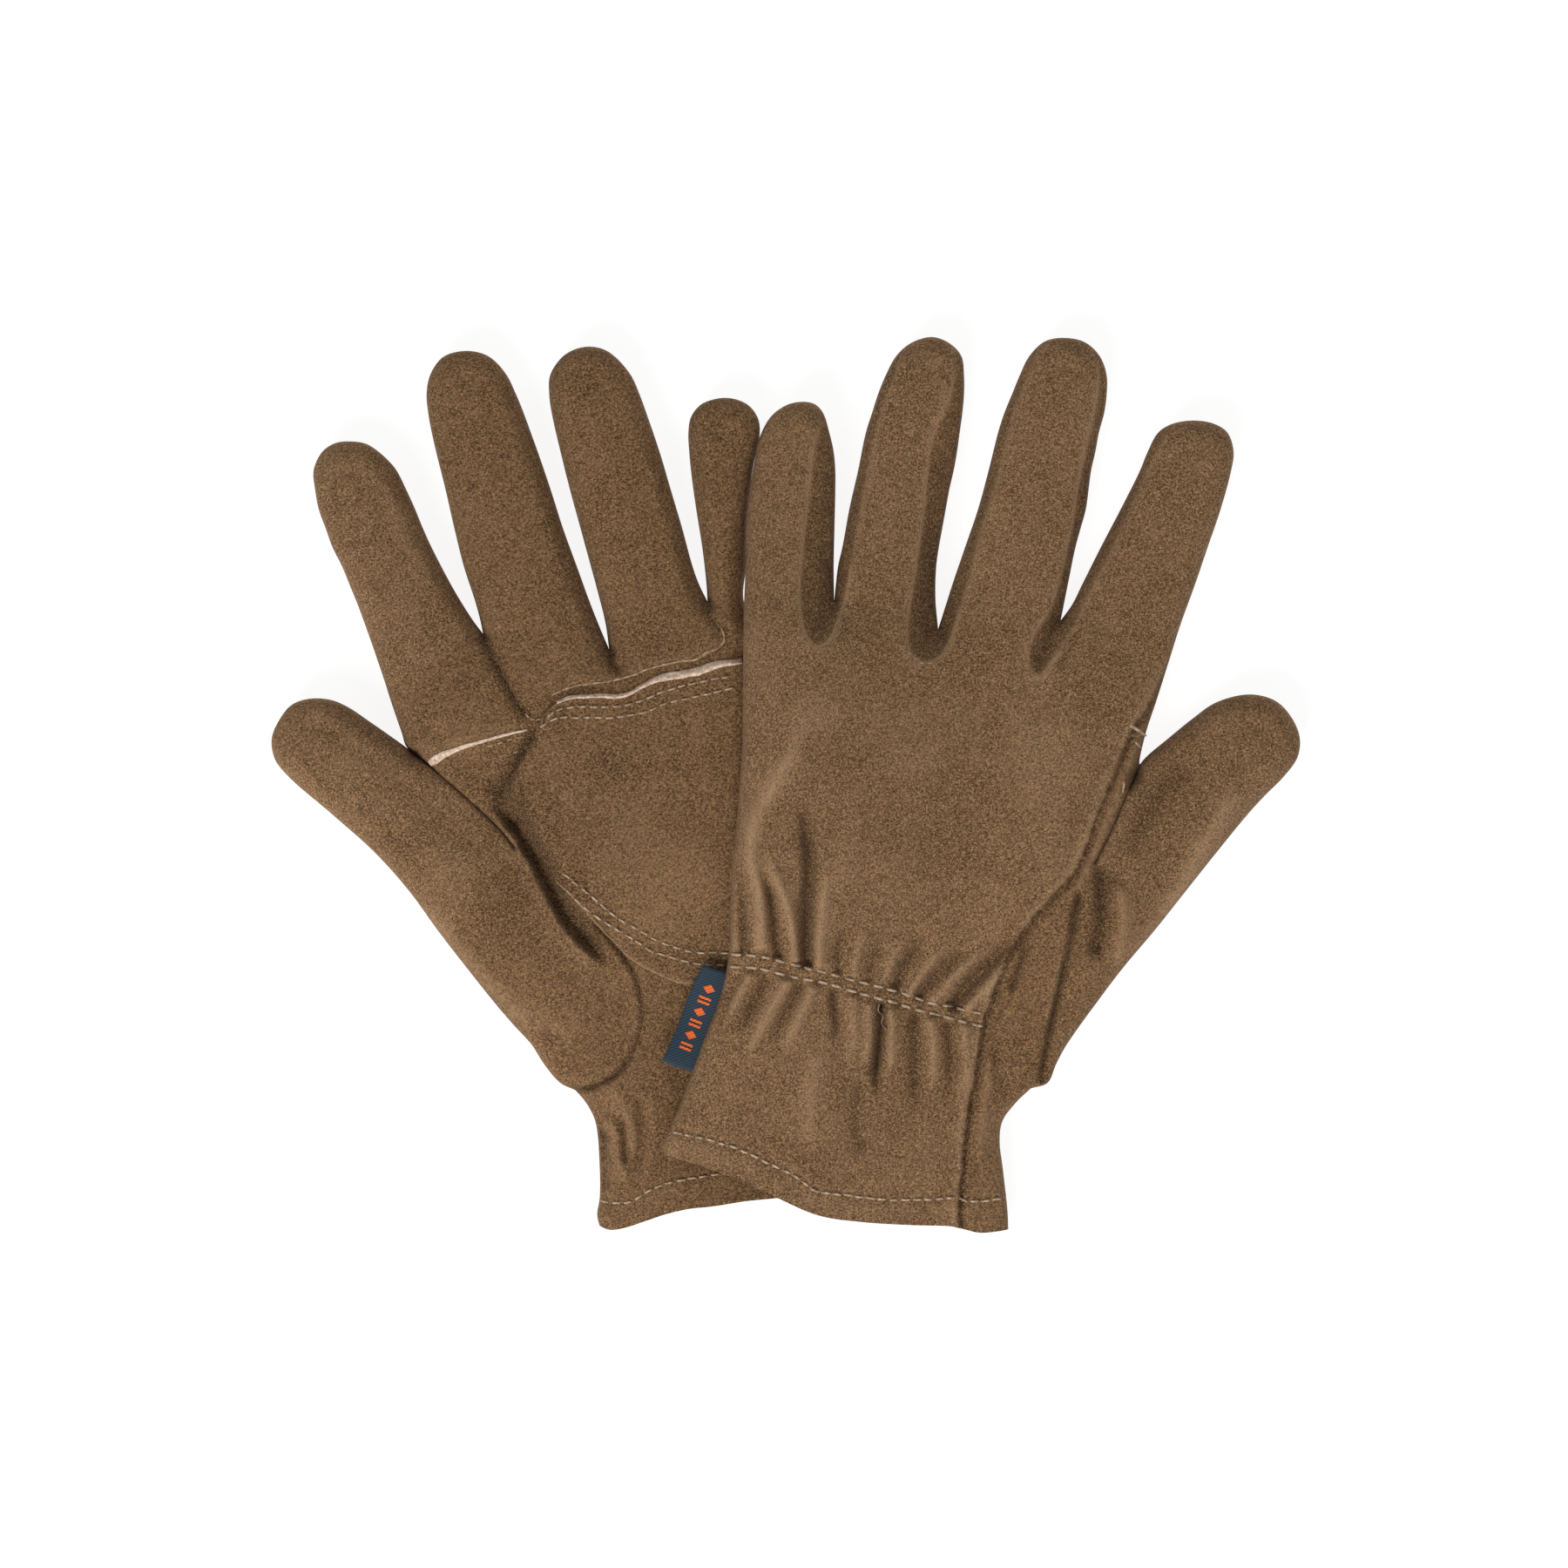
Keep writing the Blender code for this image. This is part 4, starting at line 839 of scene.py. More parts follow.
def lower_relief(sheet, weight):
    """Relief in mm, and the painted shade and highlights, with some rubbed wear, of the lower
    glove's top.
    """
    plan = sheet.plan
    relief = strokes(plan, LOWER_FOLDS, deep=1.35) + dents(plan, LOWER_DENTS)
    # painted shade in the creases, hollows and a dent of the palm, and broad painted shade beside
    # the thumb
    dark = strokes(plan, LOWER_FOLD_SHADE, deep=1.35) + strokes(plan, LOWER_SHADES)
    dark += dents(plan, [("-48.5,6", 6.0, 0.25)])
    # the thumb lies over the palm: its edge and the hollow beside it
    dist, share, side = curve_field(plan, path(THUMB_EDGE))
    palm = side > 0
    run = smooth((share - 0.05) / 0.25) * smooth((1 - share) / 0.16)
    hollow = 4.6 * smooth(dist / 1.4) * np.exp(-((dist / 6.0) ** 2.2))
    relief -= np.where(palm, hollow, 0) * run
    relief += np.where(palm, 1.5 * bell(dist, 0.5), 1.5 * bell(dist - 0.6, 2.6)) * run
    # painted shadow in the hollow beside the thumb, painted highlight on the thumb's edge
    shade = 1.25 * smooth(dist / 0.9) * np.exp(-((dist / 6.2) ** 1.8))
    dark += np.where(palm, shade, -0.42 * bell(dist, 0.9)) * run
    # the seam around the thumb's base
    dist, share, _ = line_field(plan, sheet.lines["thumb_base"])
    far = smooth((share - 0.26) / 0.1)
    relief += (0.7 * bell(dist - 1.9, 1.2) - 1.9 * bell(dist, 0.8)) * far
    # painted shade along the seam and, more faintly, around it
    dark += (0.9 * bell(dist, 0.7) + 0.25 * bell(dist, 3.2)) * far
    # the index finger's leather overlaps the palm
    dist, share, side = curve_field(plan, path(INDEX_EDGE))
    above = side > 0
    relief += (np.where(above, 0.75 * bell(dist - 0.8, 3.0), -0.35 * bell(dist, 0.9))
               * smooth(share / 0.1) * smooth((1 - share) / 0.12))
    # painted shadow under the overlapping edge, on the palm
    dark += np.where(above, 0, 0.35 * bell(dist, 0.9))
    # seam of the middle and ring fingers
    dist, _, side = curve_field(plan, FINGER_SEAM)
    relief += np.where(side > 0, 0.45 * bell(dist - 0.7, 1.6), -0.5 * bell(dist - 0.5, 0.9))
    # painted shade in the groove on the low side of the seam
    dark += np.where(side > 0, 0, 0.5 * bell(dist - 0.5, 1.0))
    # cuff and hem
    relief += strokes(plan, CUFF_FOLDS, wide=0.72, deep=1.35)
    # painted shade in the fold at the cuff's edge
    dark += strokes(plan, [(CUFF_EDGE_FOLD, 1.8, 0.45)], wide=0.72, deep=1.35)
    relief += stroke(plan, LOWER_HEM, width=0.72, amount=-0.4725, fade_in=0, fade_out=0)
    relief += hem_waves(plan, LOWER_HEM, seed=33, amount=0.15)
    # lighter in patches at the edges, folds and hem band, partly rubbed wear and partly painted
    # highlight; painted highlights on the cuff's fold ridges
    patchy_lightening = 0.55 + 0.75 * waves(plan, 51, 1.9, 2)
    dark -= patchy_lightening * (strokes(plan, LOWER_WORN_AND_LIT)
                   + stroke(plan, LOWER_HEM + (0, -3.25), 2.0, 0.35, 0.05, 0.05))
    dark -= strokes(plan, LOWER_CUFF_HIGHLIGHTS)
    strips = ["strip_index_middle", "strip_middle_ring", "strip_ring_little"]
    relief += seam_grooves(sheet, strips, width=0.75, depth=0.3, lip=0.1)
    relief += ((1 - 0.5 * weight) * 0.32 * waves(plan, 4, 20.0)
               + 0.13 * waves(plan, 6, 7.0, 2) + 0.05 * waves(plan, 8, 2.6, 2))
    under_upper = split_height(plan, "lower") > 0.5
    return np.where(under_upper, np.minimum(relief, 0.5), relief), dark


def surfaces(sheet):
    """Top and underside with their relief, and the painted highlight, painted shade and rubbed
    wear of the top.
    """
    plan, dist = sheet.plan, sheet.dist
    top, bottom, dome, weight = raise_sheet(sheet)
    upper = sheet.glove == "upper"
    relief, dark = (upper_relief if upper else lower_relief)(sheet, weight)
    # the relief fades at the outline so that the sides stay whole
    top = top + relief * np.where(sheet.on_side, 0, smooth(dist / 2.2) * 0.85 + 0.15)
    # raised relief is painted lighter as highlight and hollows darker as shade, then the relief's
    # painted shade, highlights and rubbed wear are added
    painted_light_and_wear = np.where(relief > 0, 0.9 * np.clip((relief - 0.15) / 1.3, 0, 1),
                    0.85 * np.clip((relief + 0.1) / 1.9, -1, 0))
    painted_light_and_wear = np.clip(painted_light_and_wear * (0.25 + 0.75 * smooth(dist / 1.5)), -1, 1) - dark * 0.85
    inward = np.where(sheet.on_side, 0, smooth(dist / 3.0))
    if upper:
        under = 0.4 * waves(plan, 11, 18.0) + 0.12 * waves(plan, 12, 6.0)
        split = split_height(plan, "upper")
        bottom = np.maximum(bottom + under * inward, np.where(split > 0.2, split + 0.3, 0.1))
        return np.maximum(top, bottom + 3.0 * dome), bottom, painted_light_and_wear
    under = 0.35 * waves(plan, 13, 18.0) + 0.1 * waves(plan, 14, 6.0)
    bottom = np.maximum(bottom + under * inward * smooth((bottom - 0.2) / 2.0), 0.05)
    return np.maximum(top, bottom + 2.6 * dome), bottom, painted_light_and_wear


# ---- shells -------------------------------------------------------------------
def unit(vectors):
    return vectors / (np.linalg.norm(vectors, axis=1)[:, None] + 1e-12)


def face_normals(points, faces):
    a, b, c = (points[faces[:, k]] for k in range(3))
    return np.cross(b - a, c - a)


def point_normals(points, *face_sets):
    total = np.zeros((len(points), 3))
    for faces in face_sets:
        normals = face_normals(points, faces)
        for k in range(3):
            np.add.at(total, faces[:, k], normals)
    return unit(total)


def surface_tree(points, tris):
    return BVHTree.FromPolygons([Vector(p) for p in points], [list(map(int, t)) for t in tris])


def ray_height(tree, x, y, above=True):
    """Height where a plumb line from above or below meets the tree, or None."""
    sign = 1 if above else -1
    hit = tree.ray_cast(Vector((x, y, 100 * sign)), Vector((0, 0, -sign)))[0]
    return None if hit is None else hit.z


class Shell:
    """The closed outer surface of one glove, its normals, and the inner surface beneath."""

    def __init__(self, glove):
        self.glove = glove
        self.sheet = sheet = Sheet(glove)
        top, bottom, painted_light_and_wear = surfaces(sheet)
        count = len(sheet.plan)
        # points of the underside; those on the side are shared with the top
        low = np.arange(count) + np.where(sheet.on_side, 0, count)
        points = np.zeros((2 * count, 3))
        points[:count, :2] = points[count:, :2] = sheet.plan
        points[:count, 2] = top
        points[count:, 2] = bottom
        self.close_slit(points)
        self.points = points
        self.top_tris = sheet.tris
        self.low_tris = low[sheet.tris][:, ::-1]
        self.normals = point_normals(points, self.top_tris, self.low_tris)
        # smoother normals for the offset, so that the inside stays clean
        soft = self.normals.copy()
        first, second = sheet.edges.T
        for _ in range(3):
            total = soft.copy()
            for i, j in ((first, second), (low[first], low[second])):
                np.add.at(total, i, soft[j])
                np.add.at(total, j, soft[i])
            soft = unit(total)
        self.inner = points - soft * LEATHER
        # where the two inner faces would cross, they part about the middle
        cross = (self.inner[:count, 2] < self.inner[low, 2] + 0.25) & ~sheet.on_side
        middle = ((top + bottom) / 2)[cross]
        self.inner[np.flatnonzero(cross), 2] = middle + 0.12
        self.inner[low[cross], 2] = middle - 0.12
        self.painted_light_and_wear = np.concatenate([painted_light_and_wear, np.zeros(count)])
        self.top_tree = surface_tree(points[:count], self.top_tris)
        self.low_tree = surface_tree(points, self.low_tris)

    def close_slit(self, points):
        """The two edges along the slit touch, so that no light comes through."""
        line = spline(path(PLANS[self.glove]["slit"]), 0.1)
        normals = left_normals(line)
        for i in np.where(self.sheet.on_side)[0]:
            here = self.sheet.plan[i]
            gaps = ((line - here) ** 2).sum(1)
            k = int(np.argmin(gaps))
            if gaps[k] < 0.25 and 3 < k < len(line) - 2:
                off = (here - line[k]) @ normals[k]
                sign = 1.0 if off > 0 else -1.0
                points[i, :2] -= normals[k] * (sign * (abs(off) + 0.015))

    def height(self, x, y):
        return ray_height(self.top_tree, x, y)

    def nearest_height(self, x, y):
        return self.top_tree.find_nearest(Vector((x, y, 12)))[0].z

    def underside(self, x, y):
        return ray_height(self.low_tree, x, y, above=False)


upper = Shell("upper")
lower = Shell("lower")


# ---- materials ----------------------------------------------------------------
def linear(*rgb):
    """Linear colour with alpha from 8-bit sRGB."""
    shares = [v / 255.0 for v in rgb]
    return (*(v / 12.92 if v <= 0.04045 else ((v + 0.055) / 1.055) ** 2.4 for v in shares), 1.0)


def scaled(color, *gains):
    """The colour times one gain or three, at most 1."""
    gains = gains if len(gains) == 3 else gains * 3
    return (*(min(1.0, c * gain) for c, gain in zip(color, gains)), 1.0)


class Nodes:
    """Builds a material's node tree."""

    def __init__(self, name):
        self.mat = bpy.data.materials.new(name)
        self.mat.use_nodes = True
        self.tree = self.mat.node_tree
        self.tree.nodes.clear()

    def new(self, kind, **values):
        """A node; each value goes to the input of that name, or else to the setting."""
        node = self.tree.nodes.new("ShaderNode" + kind)
        for key, value in values.items():
            if key in node.inputs:
                node.inputs[key].default_value = value
            else:
                setattr(node, key, value)
        return node

    def link(self, source, target):
        self.tree.links.new(source, target)

    def texture(self, kind, vector, **values):
        node = self.new("Tex" + kind, **values)
        self.link(vector, node.inputs["Vector"])
        return node.outputs[1 if kind == "Wave" else 0]

    def put(self, socket, value):
        if isinstance(value, (int, float, tuple)):
            socket.default_value = value
        else:
            self.link(value, socket)

    def math(self, operation, a, b, clamp=False):
        node = self.new("Math", operation=operation, use_clamp=clamp)
        self.put(node.inputs[0], a)
        self.put(node.inputs[1], b)
        return node.outputs[0]

    def mix(self, share, a, b):
        node = self.new("Mix", data_type="RGBA")
        for index, value in ((0, share), (6, a), (7, b)):
            self.put(node.inputs[index], value)
        return node.outputs[2]

    def ramp(self, value, low, high):
        """The value stretched from low..high to 0..1."""
        node = self.new("MapRange", clamp=True)
        node.inputs[1].default_value = low
        node.inputs[2].default_value = high
        self.link(value, node.inputs[0])
        return node.outputs[0]

    def finish(self, color, height, strength, distance, **surface):
        """A bumped surface of the colour; the bump's distance is in metres."""
        shader = self.new("BsdfPrincipled", **surface)
        self.link(color, shader.inputs["Base Color"])
        bump = self.new("Bump", Strength=strength, Distance=distance)
        self.link(height, bump.inputs["Height"])
        self.link(bump.outputs[0], shader.inputs["Normal"])
        self.link(shader.outputs[0], self.new("OutputMaterial").inputs[0])
        return self.mat


def suede(name, base, light, dark, grain, fibre, coarse=0.0, bump=0.25):
    """Napped leather: cloudy tone, fine grain, short pale fibres, painted highlight and rubbed
    wear on ridges, painted shade in hollows.
    """
    nodes = Nodes(name)
    rest = nodes.new("Attribute", attribute_name="rest")
    painted_light_and_wear = nodes.new("Attribute", attribute_name="painted_light_and_wear").outputs[2]
    to_mm = nodes.new("VectorMath", operation="SCALE")
    to_mm.inputs[3].default_value = 1000.0
    nodes.link(rest.outputs[1], to_mm.inputs[0])
    place = to_mm.outputs[0]

    def grains(scale, detail, rough, distortion=0.0, vector=place):
        return nodes.texture("Noise", vector, Scale=scale, Detail=detail, Roughness=rough,
                             Distortion=distortion)

    def part(value, gain, lift=False):
        """The positive part of a value times the gain."""
        return nodes.math("MULTIPLY", nodes.math("MAXIMUM", value, 0.0), gain, True)

    cloud = nodes.ramp(grains(0.05, 4.0, 0.6, 0.6), 0.36, 0.64)
    patchy = nodes.ramp(grains(0.26, 4.0, 0.62, 0.4), 0.36, 0.64)
    grainy = nodes.ramp(grains(1.95 - 0.3 * coarse, 3.0, 0.82, 0.5), 0.36, 0.64)
    fibres = None
    for angle in (0.5, -0.7, 1.7):
        across = 3.6 - 0.8 * coarse
        turned = nodes.new("Mapping", Rotation=(0, 0, angle), Scale=(1.1, across, across))
        nodes.link(place, turned.inputs["Vector"])
        strands = nodes.ramp(grains(1.0, 2.0, 0.6, 0.5, turned.outputs[0]), 0.56, 0.68)
        fibres = strands if fibres is None else nodes.math("MAXIMUM", fibres, strands)
    # large clouds and patches
    tone = nodes.mix(0.62, base, nodes.mix(cloud, dark, light))
    lighter = nodes.math("SUBTRACT", patchy, 0.5, True)
    tone = nodes.mix(nodes.math("MULTIPLY", lighter, 0.7, True), tone, light)
    darker = nodes.math("SUBTRACT", 0.5, patchy, True)
    tone = nodes.mix(nodes.math("MULTIPLY", darker, 0.6, True), tone, dark)
    # painted highlight and rubbed wear: pale on ridges; painted shade: deep in the hollows
    tone = nodes.mix(part(painted_light_and_wear, 0.85), tone, scaled(light, 1.66, 1.88, 2.25))
    hollow = nodes.math("MULTIPLY", painted_light_and_wear, -1.0)
    tone = nodes.mix(part(hollow, 0.85), tone, scaled(dark, 0.5))
    # grain, specks and fibres
    # the grain turns lighter under the painted highlight and wear, darker under the painted shade
    grain_light_and_wear = nodes.math("ADD", grainy, nodes.math("MULTIPLY", painted_light_and_wear, 0.16))
    grain_light_and_wear = nodes.math("SUBTRACT", grain_light_and_wear, 0.53)
    pits = nodes.math("MULTIPLY", grain_light_and_wear, -1.0)
    tone = nodes.mix(part(pits, 0.90 * grain), tone, scaled(dark, 0.50, 0.46, 0.40))
    tone = nodes.mix(part(grain_light_and_wear, 1.55 * grain), tone, scaled(light, 2.2))
    specks = nodes.ramp(grains(2.9, 1.0, 0.5), 0.645, 0.70)
    specks = nodes.math("MULTIPLY", specks, 0.30 + 0.32 * coarse)
    tone = nodes.mix(specks, tone, scaled(light, 2.6))
    tone = nodes.mix(nodes.math("MULTIPLY", fibres, fibre), tone, scaled(light, 2.1))
    height = nodes.math("ADD", nodes.math("MULTIPLY", grainy, 0.6),
                        nodes.math("MULTIPLY", fibres, 0.5 + 0.5 * coarse))
    height = nodes.math("ADD", height, nodes.math("MULTIPLY", patchy, 0.35))
    return nodes.finish(tone, height, strength=0.55, distance=bump * MM, Roughness=0.95, **{
        "Specular IOR Level": 0.12, "Sheen Weight": 0.10, "Sheen Roughness": 0.6,
        "Sheen Tint": (0.75, 0.6, 0.45, 1)})


def thread_material(name, dark, light):
    nodes = Nodes(name)
    place = nodes.new("TexCoord").outputs["Object"]
    mottle = nodes.texture("Noise", place, Scale=900.0, Detail=3.0)
    color = nodes.mix(nodes.ramp(mottle, 0.35, 0.65), dark, light)
    twist = nodes.texture("Wave", place, Scale=900.0, bands_direction="DIAGONAL")
    return nodes.finish(color, twist, strength=0.5, distance=0.0001,
                        Roughness=0.8, **{"Sheen Weight": 0.2})


def raw_edge(name, dark, light):
    """The cut edge of a skin: pale, fibrous."""
    nodes = Nodes(name)
    place = nodes.new("TexCoord").outputs["Object"]
    fuzz = nodes.texture("Noise", place, Scale=1100.0, Detail=4.0, Roughness=0.7)
    color = nodes.mix(nodes.ramp(fuzz, 0.34, 0.62), dark, light)
    return nodes.finish(color, fuzz, strength=0.7, distance=0.0002,
                        Roughness=0.95, **{"Specular IOR Level": 0.1})


def web_material(name):
    nodes = Nodes(name)
    place = nodes.new("TexCoord").outputs["Object"]
    ribs = nodes.texture("Wave", place, Scale=380.0, Distortion=0.6)
    color = nodes.mix(nodes.ramp(ribs, 0.2, 0.8), linear(168, 160, 148), linear(214, 207, 195))
    return nodes.finish(color, ribs, strength=0.6, distance=0.0003, Roughness=0.85)


def twill_material(name, dark, light):
    """Woven ribbon: fine diagonal ribs in the ribbon's own plane, from uvw in mm."""
    nodes = Nodes(name)
    place = nodes.new("Attribute", attribute_name="uvw").outputs[1]
    ribs = nodes.texture("Wave", place, bands_direction="DIAGONAL", Scale=0.62, Distortion=0.4)
    mottle = nodes.texture("Noise", place, Scale=2.4, Detail=3.0)
    weave = nodes.math("ADD", nodes.math("MULTIPLY", ribs, 0.55),
                       nodes.math("MULTIPLY", mottle, 0.5))
    color = nodes.mix(nodes.ramp(weave, 0.25, 0.85), dark, light)
    return nodes.finish(color, ribs, strength=0.5, distance=0.00015,
                        Roughness=0.75, **{"Sheen Weight": 0.15})


SUEDE = suede("suede_napped", base=linear(104, 78, 51), light=linear(127, 99, 71),
              dark=linear(82, 57, 34), grain=2.0, fibre=0.5)
SUEDE_ROUGH = suede("suede_rough", base=linear(96, 69, 44), light=linear(121, 93, 65),
                    dark=linear(74, 50, 29), grain=1.8, fibre=0.75, coarse=1.0, bump=0.4)
FLESH = suede("suede_flesh", base=linear(138, 110, 82), light=linear(160, 132, 104),
              dark=linear(112, 85, 60), grain=1.0, fibre=0.4, coarse=1.0, bump=0.4)
EDGE = raw_edge("leather_cut_edge", linear(96, 72, 48), linear(150, 122, 94))
RAW_DIM = raw_edge("leather_raw_dim", linear(112, 84, 58), linear(176, 146, 116))
RAW = raw_edge("leather_raw_pale", linear(176, 142, 112), linear(244, 222, 202))
THREAD = thread_material("thread_tan", linear(142, 116, 88), linear(206, 181, 152))
WEB = web_material("elastic_ribbed")
TWILL = twill_material("label_ground", linear(13, 31, 43), linear(38, 65, 85))
TWILL_MARK = twill_material("label_marks", linear(214, 84, 20), linear(255, 126, 44))


# ---- meshes -------------------------------------------------------------------
def attach(obj, name, data, kind="FLOAT"):
    attribute = obj.data.attributes.new(name, kind, "POINT")
    key = "value" if kind == "FLOAT" else "vector"
    attribute.data.foreach_set(key, np.asarray(data, np.float32).ravel())


def link_mesh(name, points, faces, materials, slots=None, normals=None, smooth_faces=True):
    """An object from points in mm, which keeps its resting places as an attribute."""
    points = np.asarray(points) * MM
    mesh = bpy.data.meshes.new(name)
    mesh.from_pydata([tuple(p) for p in points], [], [list(map(int, f)) for f in faces])
    for material in materials:
        mesh.materials.append(material)
    if slots is not None:
        mesh.polygons.foreach_set("material_index", np.asarray(slots, np.int32))
    mesh.polygons.foreach_set("use_smooth", np.full(len(mesh.polygons), smooth_faces))
    if normals is not None:
        mesh.normals_split_custom_set([tuple(n) for n in normals])
    mesh.update()
    obj = bpy.data.objects.new(name, mesh)
    bpy.context.scene.collection.objects.link(obj)
    attach(obj, "rest", points, "FLOAT_VECTOR")
    return obj


def solid_mesh(name, points, faces, material, smooth_faces=True):
    """A closed mesh of one material with its faces turned outwards."""
    obj = link_mesh(name, points, faces, [material], smooth_faces=smooth_faces)
    work = bmesh.new()
    work.from_mesh(obj.data)
    bmesh.ops.recalc_face_normals(work, faces=work.faces)
    work.to_mesh(obj.data)
    work.free()
    return obj


def swept_faces(sections, sides, base=0):
    """Faces of a closed sweep whose sections follow one another in the point list."""
    faces = []
    for i in range(sections - 1):
        for k in range(sides):
            a, b = base + i * sides + k, base + i * sides + (k + 1) % sides
            faces.append((a, b, b + sides, a + sides))
    last = base + (sections - 1) * sides
    faces.append(tuple(range(base, base + sides))[::-1])
    faces.append(tuple(range(last, last + sides)))
    return faces


def layered_mesh(name, points, outer, normals, material):
    """Two layers of leather with a cut edge between; the inner points follow the outer.

    Returns the object and the indices of the points it uses.
    """
    count = len(points) // 2
    inner = outer[:, ::-1] + count
    edges = np.vstack([outer[:, [0, 1]], outer[:, [1, 2]], outer[:, [2, 0]]])
    keys = edges.min(1).astype(np.int64) * (2 * count) + edges.max(1)
    unique, uses = np.unique(keys, return_counts=True)
    start, end = edges[np.isin(keys, unique[uses == 1])].T
    rim = np.column_stack([end, start, start + count, end + count])
    loop_normals = np.vstack([normals[outer].reshape(-1, 3),
                              (-normals)[inner - count].reshape(-1, 3),
                              np.repeat(unit(face_normals(points, rim)), 4, axis=0)])
    slots = np.repeat([0, 1, 2], [len(outer), len(inner), len(rim)])
    used = np.unique(np.vstack([outer, inner]))
    renumber = np.full(2 * count, -1)
    renumber[used] = np.arange(len(used))
    faces = [*renumber[outer], *renumber[inner], *renumber[rim]]
    obj = link_mesh(name, points[used], faces, [material, FLESH, EDGE], slots, loop_normals)
    return obj, used


def shown_for(obj, node):
    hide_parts(node)
    return obj


# ---- leather of the gloves ----------------------------------------------------
def leather(shell, name, node, top_regions, low_regions, material):
    """One cut piece of leather: its outside, its inside and the cut edge between them."""
    region = shell.sheet.region
    tris = np.vstack([shell.top_tris[np.isin(region, top_regions)],
                      shell.low_tris[np.isin(region, low_regions)]])
    used = np.unique(tris)
    renumber = np.full(len(shell.points), -1)
    renumber[used] = np.arange(len(used))
    points = np.vstack([shell.points[used], shell.inner[used]])
    obj, _ = layered_mesh(f"{shell.glove}_{name}", points, renumber[tris],
                          shell.normals[used], material)
    attach(obj, "painted_light_and_wear", np.concatenate([shell.painted_light_and_wear[used], np.full(len(used), -0.25)]))
    return shown_for(obj, f"{shell.glove}_{node}")


def bend_digit(obj, glove, digit):
    """Bakes the piece's placement into its mesh; the digit's root and base line are worked out but
    not used.
    """
    root, direction, _ = axis_of(PLANS[glove]["digits"][digit][0])
    first = max((p - root) @ direction for p in path(PLANS[glove]["cuts"][digit]))
    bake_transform(obj)


# each digit and the digits its gussets face
NEIGHBOURS = {"index": ["middle"], "middle": ["index", "ring"], "ring": ["middle", "little"],
              "little": ["ring"], "thumb": []}
# leather name, node, regions of the top, regions of the underside, material
PANELS = {
    "upper": [("back_leather", "back_panel", ["hand"], [], SUEDE),
              ("palm_leather", "palm_panel", ["strip"], ["hand", "strip"], SUEDE_ROUGH)],
    "lower": [("palm_leather", "palm_panel", ["hand"], [], SUEDE_ROUGH),
              ("back_leather", "back_panel", [], ["hand"], SUEDE)],
}
THUMB_BASE = ("thumb_base_leather", "thumb_base", ["thumb_base"], ["thumb_base"], SUEDE_ROUGH)


def build_glove(shell):
    glove = shell.glove
    is_upper = glove == "upper"
    face_up, face_down = ("back", "front") if is_upper else ("front", "back")
    for panel in PANELS[glove] + [THUMB_BASE]:
        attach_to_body(leather(shell, *panel), glove + "_hand")
    for digit, others in NEIGHBOURS.items():
        napped = is_upper and digit != "thumb" or digit in ("index", "thumb")
        pieces = [(f"{digit}_{face_up}_leather", f"{digit}_{face_up}", [digit], [],
                   SUEDE if napped else SUEDE_ROUGH),
                  (f"{digit}_{face_down}_leather", f"{digit}_{face_down}", [], [digit],
                   SUEDE_ROUGH)]
        for other in others:
            gusset = [f"{digit}_by_{other}"]
            pieces.append((f"{digit}_gusset_by_{other}", f"{digit}_side_by_{other}",
                           gusset, gusset, SUEDE_ROUGH))
        for piece in pieces:
            bend_digit(leather(shell, *piece), glove, digit)


build_glove(upper)
build_glove(lower)


# ---- patches over the palms ---------------------------------------------------
def patch_plan(outline):
    """Plan points, triangles and distance from the edge of a closed outline."""
    closed = spline(outline, 1.2)
    loop = closed[:-1]
    count = len(loop)
    tree = flat_tree(loop)
    area = 0.5 * np.sum(loop[:, 0] * closed[1:, 1] - closed[1:, 0] * loop[:, 1])
    inward = left_normals(loop, 1e-9) * (1 if area > 0 else -1)
    extra = []
    for off in (0.3, 0.9):
        extra += [p for p in loop + inward * off if tree.find((p[0], p[1], 0))[2] > off * 0.85]
    extra += lattice(closed.min(0), closed.max(0), GRID)
    extra = clear_inside(np.array(extra), loop, tree, 0.2)
    edges = [(i, (i + 1) % count) for i in range(count)]
    plan, tris, point_source, _, _ = triangulate(loop, extra, edges, loop)
    on_edge = np.array([any(i < count for i in ids) for ids in point_source])
    return plan, tris, np.where(on_edge, 0.0, tree_distance(tree, plan))


